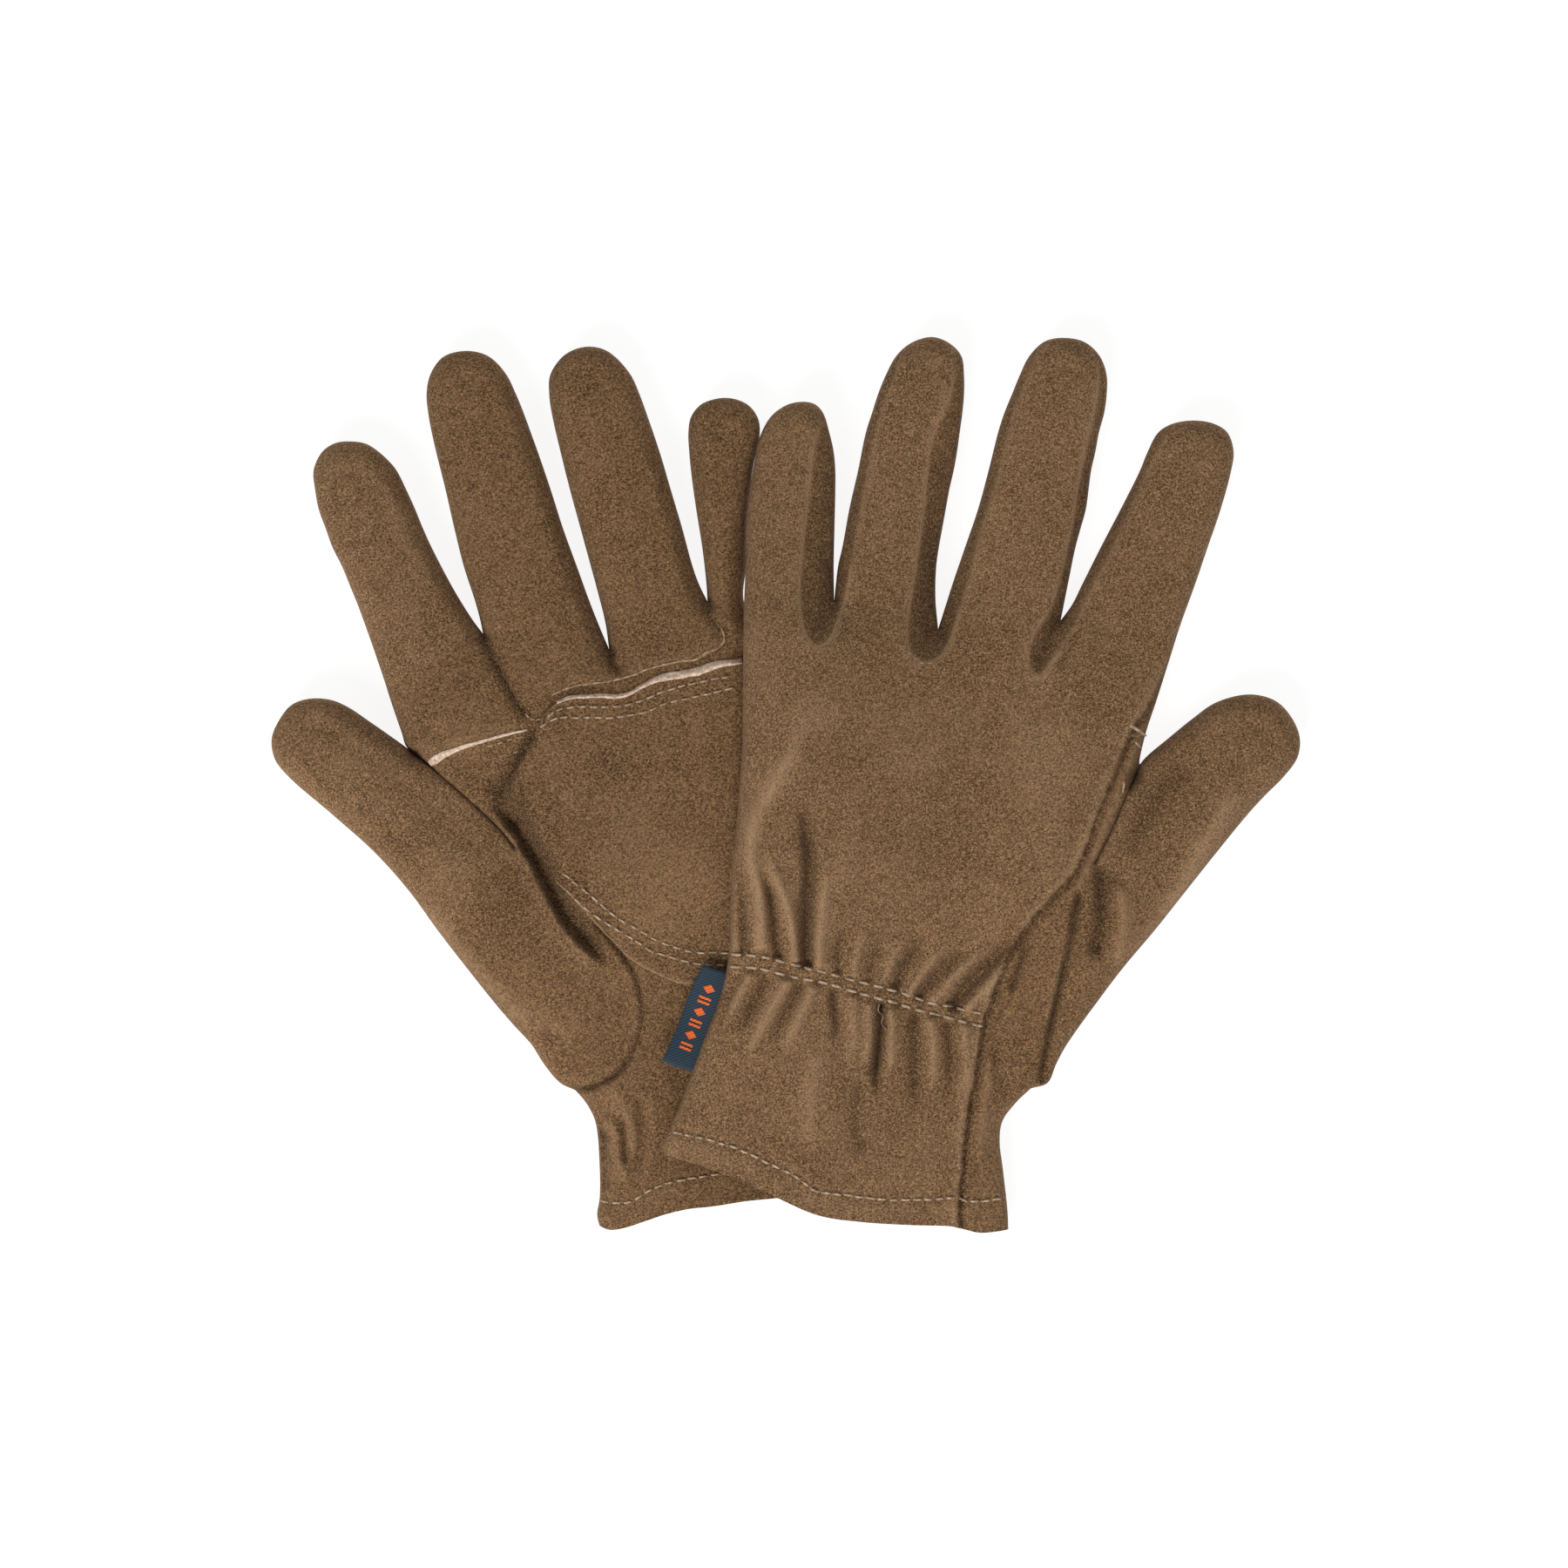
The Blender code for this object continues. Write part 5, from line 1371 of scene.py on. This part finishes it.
def patch(shell, outline, thick, limit):
    """A second layer of leather on the palm, square-edged; the limit keeps the gloves apart.

    Returns a search tree of its outer face.
    """
    on_top = shell.glove == "lower"
    plan, tris, dist = patch_plan(outline)
    heights = [shell.height(*p) if on_top else shell.underside(*p) for p in plan]
    found = np.array([h is not None for h in heights])
    tris = tris[found[tris].all(1)]
    height = np.array([0.0 if h is None else h for h in heights])
    sign = 1 if on_top else -1
    outer_z = height + sign * thick * (0.72 + 0.28 * smooth(dist / 0.9))
    outer_z = (np.minimum if on_top else np.maximum)(outer_z, limit(plan))
    points = np.vstack([np.column_stack([plan, outer_z]),
                        np.column_stack([plan, height - sign * 0.35])])
    outer = tris if on_top else tris[:, ::-1]
    obj, used = layered_mesh(f"{shell.glove}_palm_patch_leather", points, outer,
                             point_normals(points, outer), SUEDE_ROUGH)
    # painted highlight, painted shade and wear follow the palm's own
    painted_light_and_wear = np.zeros(len(used))
    if on_top:
        sheet_tree = flat_tree(shell.sheet.plan)
        painted_light_and_wear = np.array([shell.painted_light_and_wear[sheet_tree.find((x, y, 0))[1]] for x, y, _ in points[used]])
    edge_wear = 0.25 * bell(np.concatenate([dist, dist])[used], 0.8)
    attach(obj, "painted_light_and_wear", np.clip(painted_light_and_wear, -1.6, 1) + edge_wear)
    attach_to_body(shown_for(obj, f"{shell.glove}_palm_patch"), f"{shell.glove}_hand")
    return surface_tree(points, outer)


def lower_patch_limit(plan):
    split = split_height(plan, "lower")
    return np.where(split > 0.5, split - 0.05, 99.0)


def upper_patch_limit(plan):
    return np.maximum(split_height(plan, "upper") + 0.05, 0.05)


def patched(shell, patch_tree, above):
    """Height of the palm patch, or of the glove where the patch is missed."""
    shell_tree = shell.top_tree if above else shell.low_tree

    def height(x, y):
        on_patch = ray_height(patch_tree, x, y, above)
        return ray_height(shell_tree, x, y, above) if on_patch is None else on_patch
    return height


LOWER_PATCH = np.vstack([
    PATCH_TOP,
    path("-3.75,34.5 1.25,25 4.5,5 6.5,-15 8,-35 7.5,-47.5 -1.25,-54.5"),
    PATCH_BOTTOM[::-1],
    path("""-67,-21.25 -69.5,-16.25 -73,-11 -77.5,-7 -80.5,-3 -77.5,3.5 -73.5,10.5 -70,17.5
    -68,21 -64.75,23.5"""),
])
UPPER_PATCH = path("""-4,22 1.25,27.5 15,28.5 30,26 45,25 60,25 71.25,25 76.25,23.5 82.5,14.5
    83.75,3.75 81.25,-8.75 76.25,-21.25 73.75,-32.5 66.25,-37.5 55,-40.5 35,-42.5 15,-41 0,-38
    -6,-32.5 -7,-15 -6,5 -4,22""")
lower_palm = patched(lower, patch(lower, LOWER_PATCH, 1.35, lower_patch_limit), above=True)
upper_palm = patched(upper, patch(upper, UPPER_PATCH, 1.0, upper_patch_limit), above=False)


# ---- threads ------------------------------------------------------------------
class Threads:
    """Short lengths of thread gathered in one mesh."""

    def __init__(self):
        self.points, self.faces = [], []

    def tube(self, line, radii, sides=7):
        line = [Vector(p) for p in line]
        base = len(self.points)
        for i, p in enumerate(line):
            run = (line[min(i + 1, len(line) - 1)] - line[max(i - 1, 0)]).normalized()
            across = run.cross(Vector((0, 0, 1)))
            across = across.normalized() if across.length > 1e-6 else Vector((1, 0, 0))
            over = across.cross(run).normalized()
            for k in range(sides):
                angle = 2 * math.pi * k / sides
                q = p + (across * math.cos(angle) + over * math.sin(angle)) * radii[i]
                q.z = max(q.z, 0.02)
                self.points.append(tuple(q))
        self.faces += swept_faces(len(line), sides, base)

    def loose(self, line, radius, heights):
        self.tube([(x, y, z) for (x, y), z in zip(line, heights)], [radius] * len(line), 6)

    def stitches(self, line, height, length, pitch, radius, seed, lift=0.12, sink=0.45, sign=1):
        """A row of stitches whose ends sink into the surface; sign -1 for an underside."""
        wobble = 0.12
        curve = spline(line, 0.5)
        dist = lengths(curve)
        rng = np.random.RandomState(seed)

        def place(at):
            return np.array([np.interp(at, dist, curve[:, k]) for k in range(2)])

        start = 0.3
        while start + length < dist[-1]:
            size = length * (1 + 0.12 * rng.uniform(-1, 1))
            off = wobble * rng.uniform(-1, 1)
            end_off = off + wobble * 0.8 * rng.uniform(-1, 1)
            points, radii = [], []
            for u in np.linspace(0, 1, 7):
                here = place(start + size * u)
                ahead = place(start + size * u + 0.2) - here
                reach = math.hypot(*ahead) + 1e-9
                aside = off * (1 - u) + end_off * u
                x = here[0] - ahead[1] / reach * aside
                y = here[1] + ahead[0] / reach * aside
                z = height(x, y)
                if z is None:
                    points = None
                    break
                rise = lift + radius * 0.55 - (sink + radius) * (2 * abs(u - 0.5)) ** 5
                points.append((x, y, z + sign * rise))
                radii.append(radius * (1 - 0.35 * (2 * abs(u - 0.5)) ** 4))
            if points:
                self.tube(points, radii)
            start += pitch * (1 + 0.05 * rng.uniform(-1, 1))

    def build(self, name):
        return solid_mesh(name, self.points, self.faces, THREAD)


def stitching(glove, part, height, lines, seed, **stitch):
    """One object of stitch rows; "stitches" in its name answers to "stitching" in the CAD's."""
    threads = Threads()
    for i, line in enumerate(lines):
        threads.stitches(line, height, seed=seed + i, **stitch)
    name = f"{glove}_{part}"
    node = name.replace("stitches", "stitching")
    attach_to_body(shown_for(threads.build(name), node), glove + "_hand")


stitching("upper", "elastic_stitches_upper", upper.height, [ELASTIC_TOP_ROW], seed=2,
          length=2.9, pitch=4.2, radius=0.42, lift=0.1)
stitching("upper", "elastic_stitches_lower", upper.height, [ELASTIC_LOW_ROW], seed=3,
          length=3.0, pitch=4.25, radius=0.44, lift=0.1)
stitching("upper", "hem_stitches", upper.height, [UPPER_HEM], seed=4,
          length=2.5, pitch=3.3, radius=0.36)
stitching("lower", "hem_stitches", lower.height, [LOWER_HEM], seed=5,
          length=2.5, pitch=3.3, radius=0.34)
stitching("lower", "patch_stitches_top", lower_palm,
          [path("-68,19 -65,21 -60,22 -50,22 -42.5,23.25 -35,26.25 -25,29 -12.5,31.25"),
           path("-70,16 -65,18.75 -57.5,19 -50,19 -40,20.5 -33.75,23 -25,25 -12.5,28")],
          seed=6, length=2.3, pitch=3.2, radius=0.30)
stitching("lower", "patch_stitches_bottom", lower_palm,
          [path("""-63.75,-25.5 -59.5,-28.5 -54.5,-32.75 -49.25,-37.25 -42.25,-41.5 -36,-45
    -30,-47.25 -24.25,-48.25 -13.75,-48.5"""),
           path("""-62.5,-30.25 -56.5,-35.75 -50.25,-40.25 -43.75,-44.25 -38,-47.75
    -32,-49.75 -24.25,-51.5 -15,-52""")],
          seed=8, length=2.5, pitch=3.5, radius=0.32)
ROW_GAP = 3.25     # between the two rows of stitches of the upper patch, mm
upper_patch_top = path("0,25 15,26 30,23.5 45,22.5 60,22.5 73.75,21")
upper_patch_low = path("-1,-35.5 15,-38.25 35,-39.75 52.5,-38 65,-35")
stitching("upper", "patch_stitches_top", upper_palm,
          [upper_patch_top, upper_patch_top - (0, ROW_GAP)],
          seed=10, length=2.3, pitch=3.2, radius=0.3, sign=-1, lift=-0.12)
stitching("upper", "patch_stitches_bottom", upper_palm,
          [upper_patch_low, upper_patch_low + (0, ROW_GAP)],
          seed=12, length=2.5, pitch=3.5, radius=0.3, sign=-1, lift=-0.12)


def lower_seam_threads():
    threads = Threads()
    # line, stitch length, pitch, radius, seed, lift
    for line, length, pitch, radius, seed, lift in (
            (FINGER_SEAM, 2.2, 3.0, 0.24, 14, 0.05),
            (path("-74.25,20.5 -72,18.5 -69.5,18.75 -67.25,21.5"), 1.6, 2.0, 0.22, 15, 0.05),
            (path("-85,10.5 -80.5,12 -74.5,13.75"), 1.6, 3.0, 0.2, 16, 0.0),
            (path("-84,7 -80,8.25 -75,9.5"), 1.6, 3.2, 0.18, 17, 0.0)):
        threads.stitches(line, lower.height, length, pitch, radius, seed, lift)
    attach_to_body(threads.build("lower_seam_threads"), "lower_hand")


def upper_seam_threads():
    threads = Threads()
    threads.stitches(path("35.25,38 37.5,35.75 40,34.5 43.5,35.25"), upper.height,
                     length=1.2, pitch=2.2, radius=0.22, seed=18, lift=0.0)
    curl = spline(path("27.25,-63 27,-65 28.25,-66.5 28,-68.5 29.25,-70.25"), 0.5)
    threads.loose(curl, 0.2, [(upper.height(*p) or 20) + 0.45 for p in curl])
    for text in ("99.5,16.5 101.5,15.25 103.75,13.75", "100.75,12 102.25,10.5",
                 "97.5,0.5 97,-2.5"):
        line = [p for p in spline(path(text), 0.5) if upper.height(*p) is not None]
        if len(line) > 2:
            threads.loose(line, 0.3, [upper.height(*p) + 0.12 for p in line])
    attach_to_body(threads.build("upper_seam_threads"), "upper_hand")


lower_seam_threads()
upper_seam_threads()


# ---- pale raw edges -----------------------------------------------------------
def raw_strip(shell, name, line, height, width, thick, seed, base=0.0, material=RAW_DIM):
    """A wavy ribbon with the cut thickness of the skin standing up.

    Width and thickness are given as stations along the line and values in mm.
    """
    curve = spline(line, 0.8)
    normals = left_normals(curve)
    points = []
    rows = 5

    def ground(x, y):
        found = height(x, y)
        return shell.nearest_height(x, y) if found is None else found

    for p, normal, share in zip(curve, normals, np.linspace(0, 1, len(curve))):
        wide = np.interp(share, *width)
        wide *= 1 + 0.16 * noise.noise(Vector((p[0] * 0.5, p[1] * 0.5, seed)))
        high = np.interp(share, *thick)
        sway = noise.noise(Vector((p[0] * 0.22, p[1] * 0.22, seed + 5.0)))
        centre = p + normal * 0.25 * sway
        for k in range(rows):
            across = k / (rows - 1) - 0.5
            x, y = centre + normal * (across * wide)
            profile = 1 - (2 * abs(across)) ** 3 * 0.6
            fuzz = 0.06 * noise.noise(Vector((x * 1.3, y * 1.3, seed)))
            points.append((x, y, ground(x, y) + base + high * profile + fuzz))
        for k in range(rows):
            x, y = centre + normal * ((0.5 - k / (rows - 1)) * wide)
            points.append((x, y, ground(x, y) - 0.25))
    faces = swept_faces(len(curve), 2 * rows)
    obj = solid_mesh(f"{shell.glove}_{name}", points, faces, material)
    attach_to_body(obj, shell.glove + "_hand")


raw_strip(lower, "patch_raw_edge_top", path("""-65,23.25 -62,24.5 -58,25 -52,25.25 -46,25.25
    -41,27.75 -37,29.75 -30,31.25 -24,32.5 -19,34.25 -12,35.25"""), lower_palm,
          width=([0, 0.3, 0.42, 0.5, 0.6, 0.78, 0.9, 1], [0.9, 1.3, 1.1, 1.5, 2.3, 2.5, 1.9, 1.5]),
          thick=([0, 1], [0.55, 0.6]), seed=3.0, base=0.1, material=RAW)
raw_strip(lower, "index_raw_edge",
          path("-101.75,5.75 -100,7 -96,9 -91.5,10.75 -87,12 -80,14 -73.5,15.5"), lower.height,
          width=([0, 0.08, 0.3, 0.6, 1], [1.6, 2.6, 1.3, 0.9, 0.6]),
          thick=([0, 0.3, 1], [0.7, 0.5, 0.3]), seed=8.0, base=0.1, material=RAW)
raw_strip(lower, "finger_seam_edge", FINGER_SEAM, lower.height,
          width=([0, 0.2, 0.6, 0.8, 1], [0.6, 0.5, 0.55, 0.9, 0.7]),
          thick=([0, 1], [0.25, 0.3]), seed=12.0)
raw_strip(lower, "patch_raw_edge_bottom", PATCH_BOTTOM[:-1], lower_palm,
          width=([0, 0.5, 1], [0.5, 0.45, 0.6]), thick=([0, 1], [0.12, 0.12]), seed=15.0)
raw_strip(upper, "side_seam_edge", path("99.25,16.75 101.5,15.5 104,13.75"), upper.height,
          width=([0, 1], [0.9, 0.6]), thick=([0, 1], [0.3, 0.3]), seed=19.0, material=RAW)


# ---- elastic sewn inside the wrist --------------------------------------------
def elastic(glove, line, height, offset, width=8.0, thick=0.8):
    """A flat band that follows the leather at the given offset."""
    curve = spline(line, 0.9)
    rows = 7
    points = []
    for i, (p, normal) in enumerate(zip(curve, left_normals(curve))):
        places = [p + normal * w for w in np.linspace(-width / 2, width / 2, rows)]
        heights = [height(*place) for place in places]
        spare = next((h for h in heights if h is not None), 12.0)
        band = [(x, y, spare if h is None else h) for (x, y), h in zip(places, heights)]
        ripple = 0.08 * math.sin(i * 1.9)
        points += [(x, y, z + offset + ripple) for x, y, z in band]
        points += [(x, y, z + offset + thick + ripple) for x, y, z in band[::-1]]
    faces = swept_faces(len(curve), 2 * rows)
    obj = solid_mesh(glove + "_elastic_web", points, faces, WEB)
    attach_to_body(shown_for(obj, glove + "_wrist_elastic"), glove + "_hand")


def lower_web_height(x, y):
    return (lower.underside(x, y) or 0) + LEATHER + 1.3


LOWER_ELASTIC = path("-39,-75.5 -27.5,-72 -16,-68 -5,-65 5,-63")
elastic("upper", path("-8,-50.75 1,-53 11,-55.5 21,-58 31,-61 39.5,-63.25 48,-65.5"),
        upper.height, offset=-LEATHER - 1.6)
elastic("lower", LOWER_ELASTIC, lower.underside, offset=LEATHER + 0.45)
for part, shift, seed in (("upper", 2.25, 11), ("lower", -2.25, 29)):
    stitching("lower", "elastic_stitches_" + part, lower_web_height,
              [LOWER_ELASTIC + (0, shift)], seed=seed,
              length=2.9, pitch=4.2, radius=0.35, lift=0.0, sink=0.1)


# ---- the woven label ----------------------------------------------------------
LABEL_LONG, LABEL_WIDE = 30, 10    # steps along and across the ribbon


def ribbon_points():
    """Places and uvw of the ribbon's under and upper layers, from the free edge inwards."""
    free_top, free_end = path("-23,-51.5 -35,-79")
    sewn_top, sewn_end = path("-12.5,-55.5 -24.25,-83.25")
    along = (free_end - free_top) / np.linalg.norm(free_end - free_top)
    floor_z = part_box("upper_woven_label")[0].z * 1000
    points, uvw = [], []
    for layer in (0, 1):
        for i in range(LABEL_LONG + 1):
            u = i / LABEL_LONG
            free = free_top + (free_end - free_top) * u
            sewn = sewn_top + (sewn_end - sewn_top) * u
            for j in range(LABEL_WIDE + 1):
                v = j / LABEL_WIDE
                # the ends are a little uneven, and the free edge sways
                uneven = (0.35 * math.sin(v * 5.0) * max(0, u - 0.9) * 10
                          + 0.25 * math.sin(v * 7) * max(0, 0.1 - u) * 10)
                p = free + (sewn - free) * v + along * uneven
                p = p + np.array([-1.0, 0.3]) * 0.35 * math.sin(u * 6.0) * (1 - v)
                palm = lower_palm(*p)
                sag = 0.9 * (1 - v) * math.sin(math.pi * min(1, u * 1.05))
                z = floor_z + 0.55 - sag + 0.35 * math.sin(u * 7 + 1.0) * (1 - v * 0.6)
                if palm is not None:
                    z = max(z, palm + 0.35)
                points.append((p[0], p[1], z + layer))
                uvw.append((v * 10.0, u * 30.0, layer))
    return points, uvw


def ribbon_faces():
    row = LABEL_WIDE + 1
    layer = (LABEL_LONG + 1) * row
    faces = []
    for i in range(LABEL_LONG):
        for j in range(LABEL_WIDE):
            q = i * row + j
            faces.append((layer + q, layer + q + 1, layer + q + 1 + row, layer + q + row))
            faces.append((q, q + row, q + row + 1, q + 1))
    ring = list(range(row))
    ring += [i * row + LABEL_WIDE for i in range(1, LABEL_LONG + 1)]
    ring += [LABEL_LONG * row + j for j in range(LABEL_WIDE - 1, -1, -1)]
    ring += [i * row for i in range(LABEL_LONG - 1, 0, -1)]
    faces += [(q, r, r + layer, q + layer) for q, r in zip(ring, ring[1:] + ring[:1])]
    return faces


def label_marks():
    """Outlines in the ribbon's u, v: lozenges and pairs of bars, by turns."""
    middle, half_long, half_wide = 0.40, 0.045, 0.155
    low, high = middle - half_wide, middle + half_wide
    marks = []
    for i in range(6):
        u = 0.205 + i * 0.118
        if i % 2 == 0:
            marks.append([(u - half_long, middle), (u, high), (u + half_long, middle), (u, low)])
            continue
        for side in (-1, 1):
            bar = u + side * 0.022
            marks.append([(bar - 0.012, low), (bar - 0.012, high),
                          (bar + 0.012, high), (bar + 0.012, low)])
    return marks


def label():
    """A folded ribbon at the upper glove's side, with thin plates for its woven marks."""
    points, uvw = ribbon_points()
    ribbon = solid_mesh("upper_label_ribbon", points, ribbon_faces(), TWILL)
    attach(ribbon, "uvw", uvw, "FLOAT_VECTOR")
    joint = next(j for j in frame["joints"] if j["child"] == "upper_label")
    hinge = np.array(joint["pos_m"])
    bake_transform(shown_for(ribbon, "upper_woven_label"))

    top = np.array(points)[len(points) // 2:].reshape(LABEL_LONG + 1, LABEL_WIDE + 1, 3)

    def on_ribbon(u, v):
        i, j = u * LABEL_LONG, v * LABEL_WIDE
        i0, j0 = min(int(i), LABEL_LONG - 1), min(int(j), LABEL_WIDE - 1)
        di, dj = i - i0, j - j0
        near = top[i0, j0] * (1 - di) + top[i0 + 1, j0] * di
        far = top[i0, j0 + 1] * (1 - di) + top[i0 + 1, j0 + 1] * di
        return near * (1 - dj) + far * dj

    points, faces, uvw = [], [], []
    for mark in label_marks():
        base, count = len(points), len(mark)
        for lift in (0.16, -0.1):
            for u, v in mark:
                points.append(tuple(on_ribbon(u, v) + (0, 0, lift)))
                uvw.append((v * 10.0, u * 30.0, lift))
        faces.append(tuple(range(base, base + count)))
        faces.append(tuple(range(base + count, base + 2 * count))[::-1])
        for k in range(count):
            after = (k + 1) % count
            faces.append((base + k, base + count + k, base + count + after, base + after))
    marks = solid_mesh("upper_label_marks", points, faces, TWILL_MARK, smooth_faces=False)
    attach(marks, "uvw", uvw, "FLOAT_VECTOR")
    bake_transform(marks)


label()


# ---- studio -------------------------------------------------------------------
scene = bpy.context.scene
scene.view_settings.view_transform = "Standard"
scene.view_settings.look = "None"


def build_floor(half=6.0, z=-0.0002):
    """A white floor that glows, so that shadows on it stay faint."""
    mesh = bpy.data.meshes.new("floor")
    corners = [(-half, -half, z), (half, -half, z), (half, half, z), (-half, half, z)]
    mesh.from_pydata(corners, [], [(0, 1, 2, 3)])
    floor = bpy.data.objects.new("floor", mesh)
    scene.collection.objects.link(floor)
    nodes = Nodes("floor_white")
    glow = nodes.new("Emission", Color=(1, 1, 1, 1), Strength=0.88)
    matt = nodes.new("BsdfDiffuse", Color=(0.24, 0.24, 0.24, 1))
    both = nodes.new("AddShader")
    nodes.link(glow.outputs[0], both.inputs[0])
    nodes.link(matt.outputs[0], both.inputs[1])
    nodes.link(both.outputs[0], nodes.new("OutputMaterial").inputs[0])
    mesh.materials.append(nodes.mat)


def build_world(seen=1.0, lighting=0.34):
    """A backdrop that looks white but lights the gloves more softly."""
    world = bpy.data.worlds.new("studio")
    scene.world = world
    world.use_nodes = True
    tree = world.node_tree
    background = tree.nodes["Background"]
    background.inputs[0].default_value = (1.0, 1.0, 1.0, 1)
    rays = tree.nodes.new("ShaderNodeLightPath")
    strength = tree.nodes.new("ShaderNodeMapRange")
    strength.inputs[3].default_value = lighting
    strength.inputs[4].default_value = seen
    tree.links.new(rays.outputs["Is Camera Ray"], strength.inputs[0])
    tree.links.new(strength.outputs[0], background.inputs[1])


def area_light(name, place, size, power):
    """A square light turned to the middle of the pair."""
    light = bpy.data.lights.new(name, "AREA")
    light.shape = "SQUARE"
    light.size = size
    light.energy = power
    obj = bpy.data.objects.new(name, light)
    obj.location = place
    obj.rotation_euler = (-Vector(place)).to_track_quat("-Z", "Y").to_euler()
    scene.collection.objects.link(obj)


def build_camera():
    """A long lens looking straight down on the plan's origin."""
    camera = bpy.data.cameras.new("camera")
    camera.lens = 240.0
    camera.sensor_width = 36.0
    obj = bpy.data.objects.new("camera", camera)
    obj.location = (0.000445, -0.00076, 3.012)
    obj.rotation_euler = (0, 0, 0)
    scene.collection.objects.link(obj)
    scene.camera = obj


build_floor()
build_world()
area_light("key", place=(-0.75, -1.45, 1.35), size=1.1, power=34.0)
area_light("fill", place=(1.3, 1.0, 1.9), size=1.6, power=9.0)
build_camera()
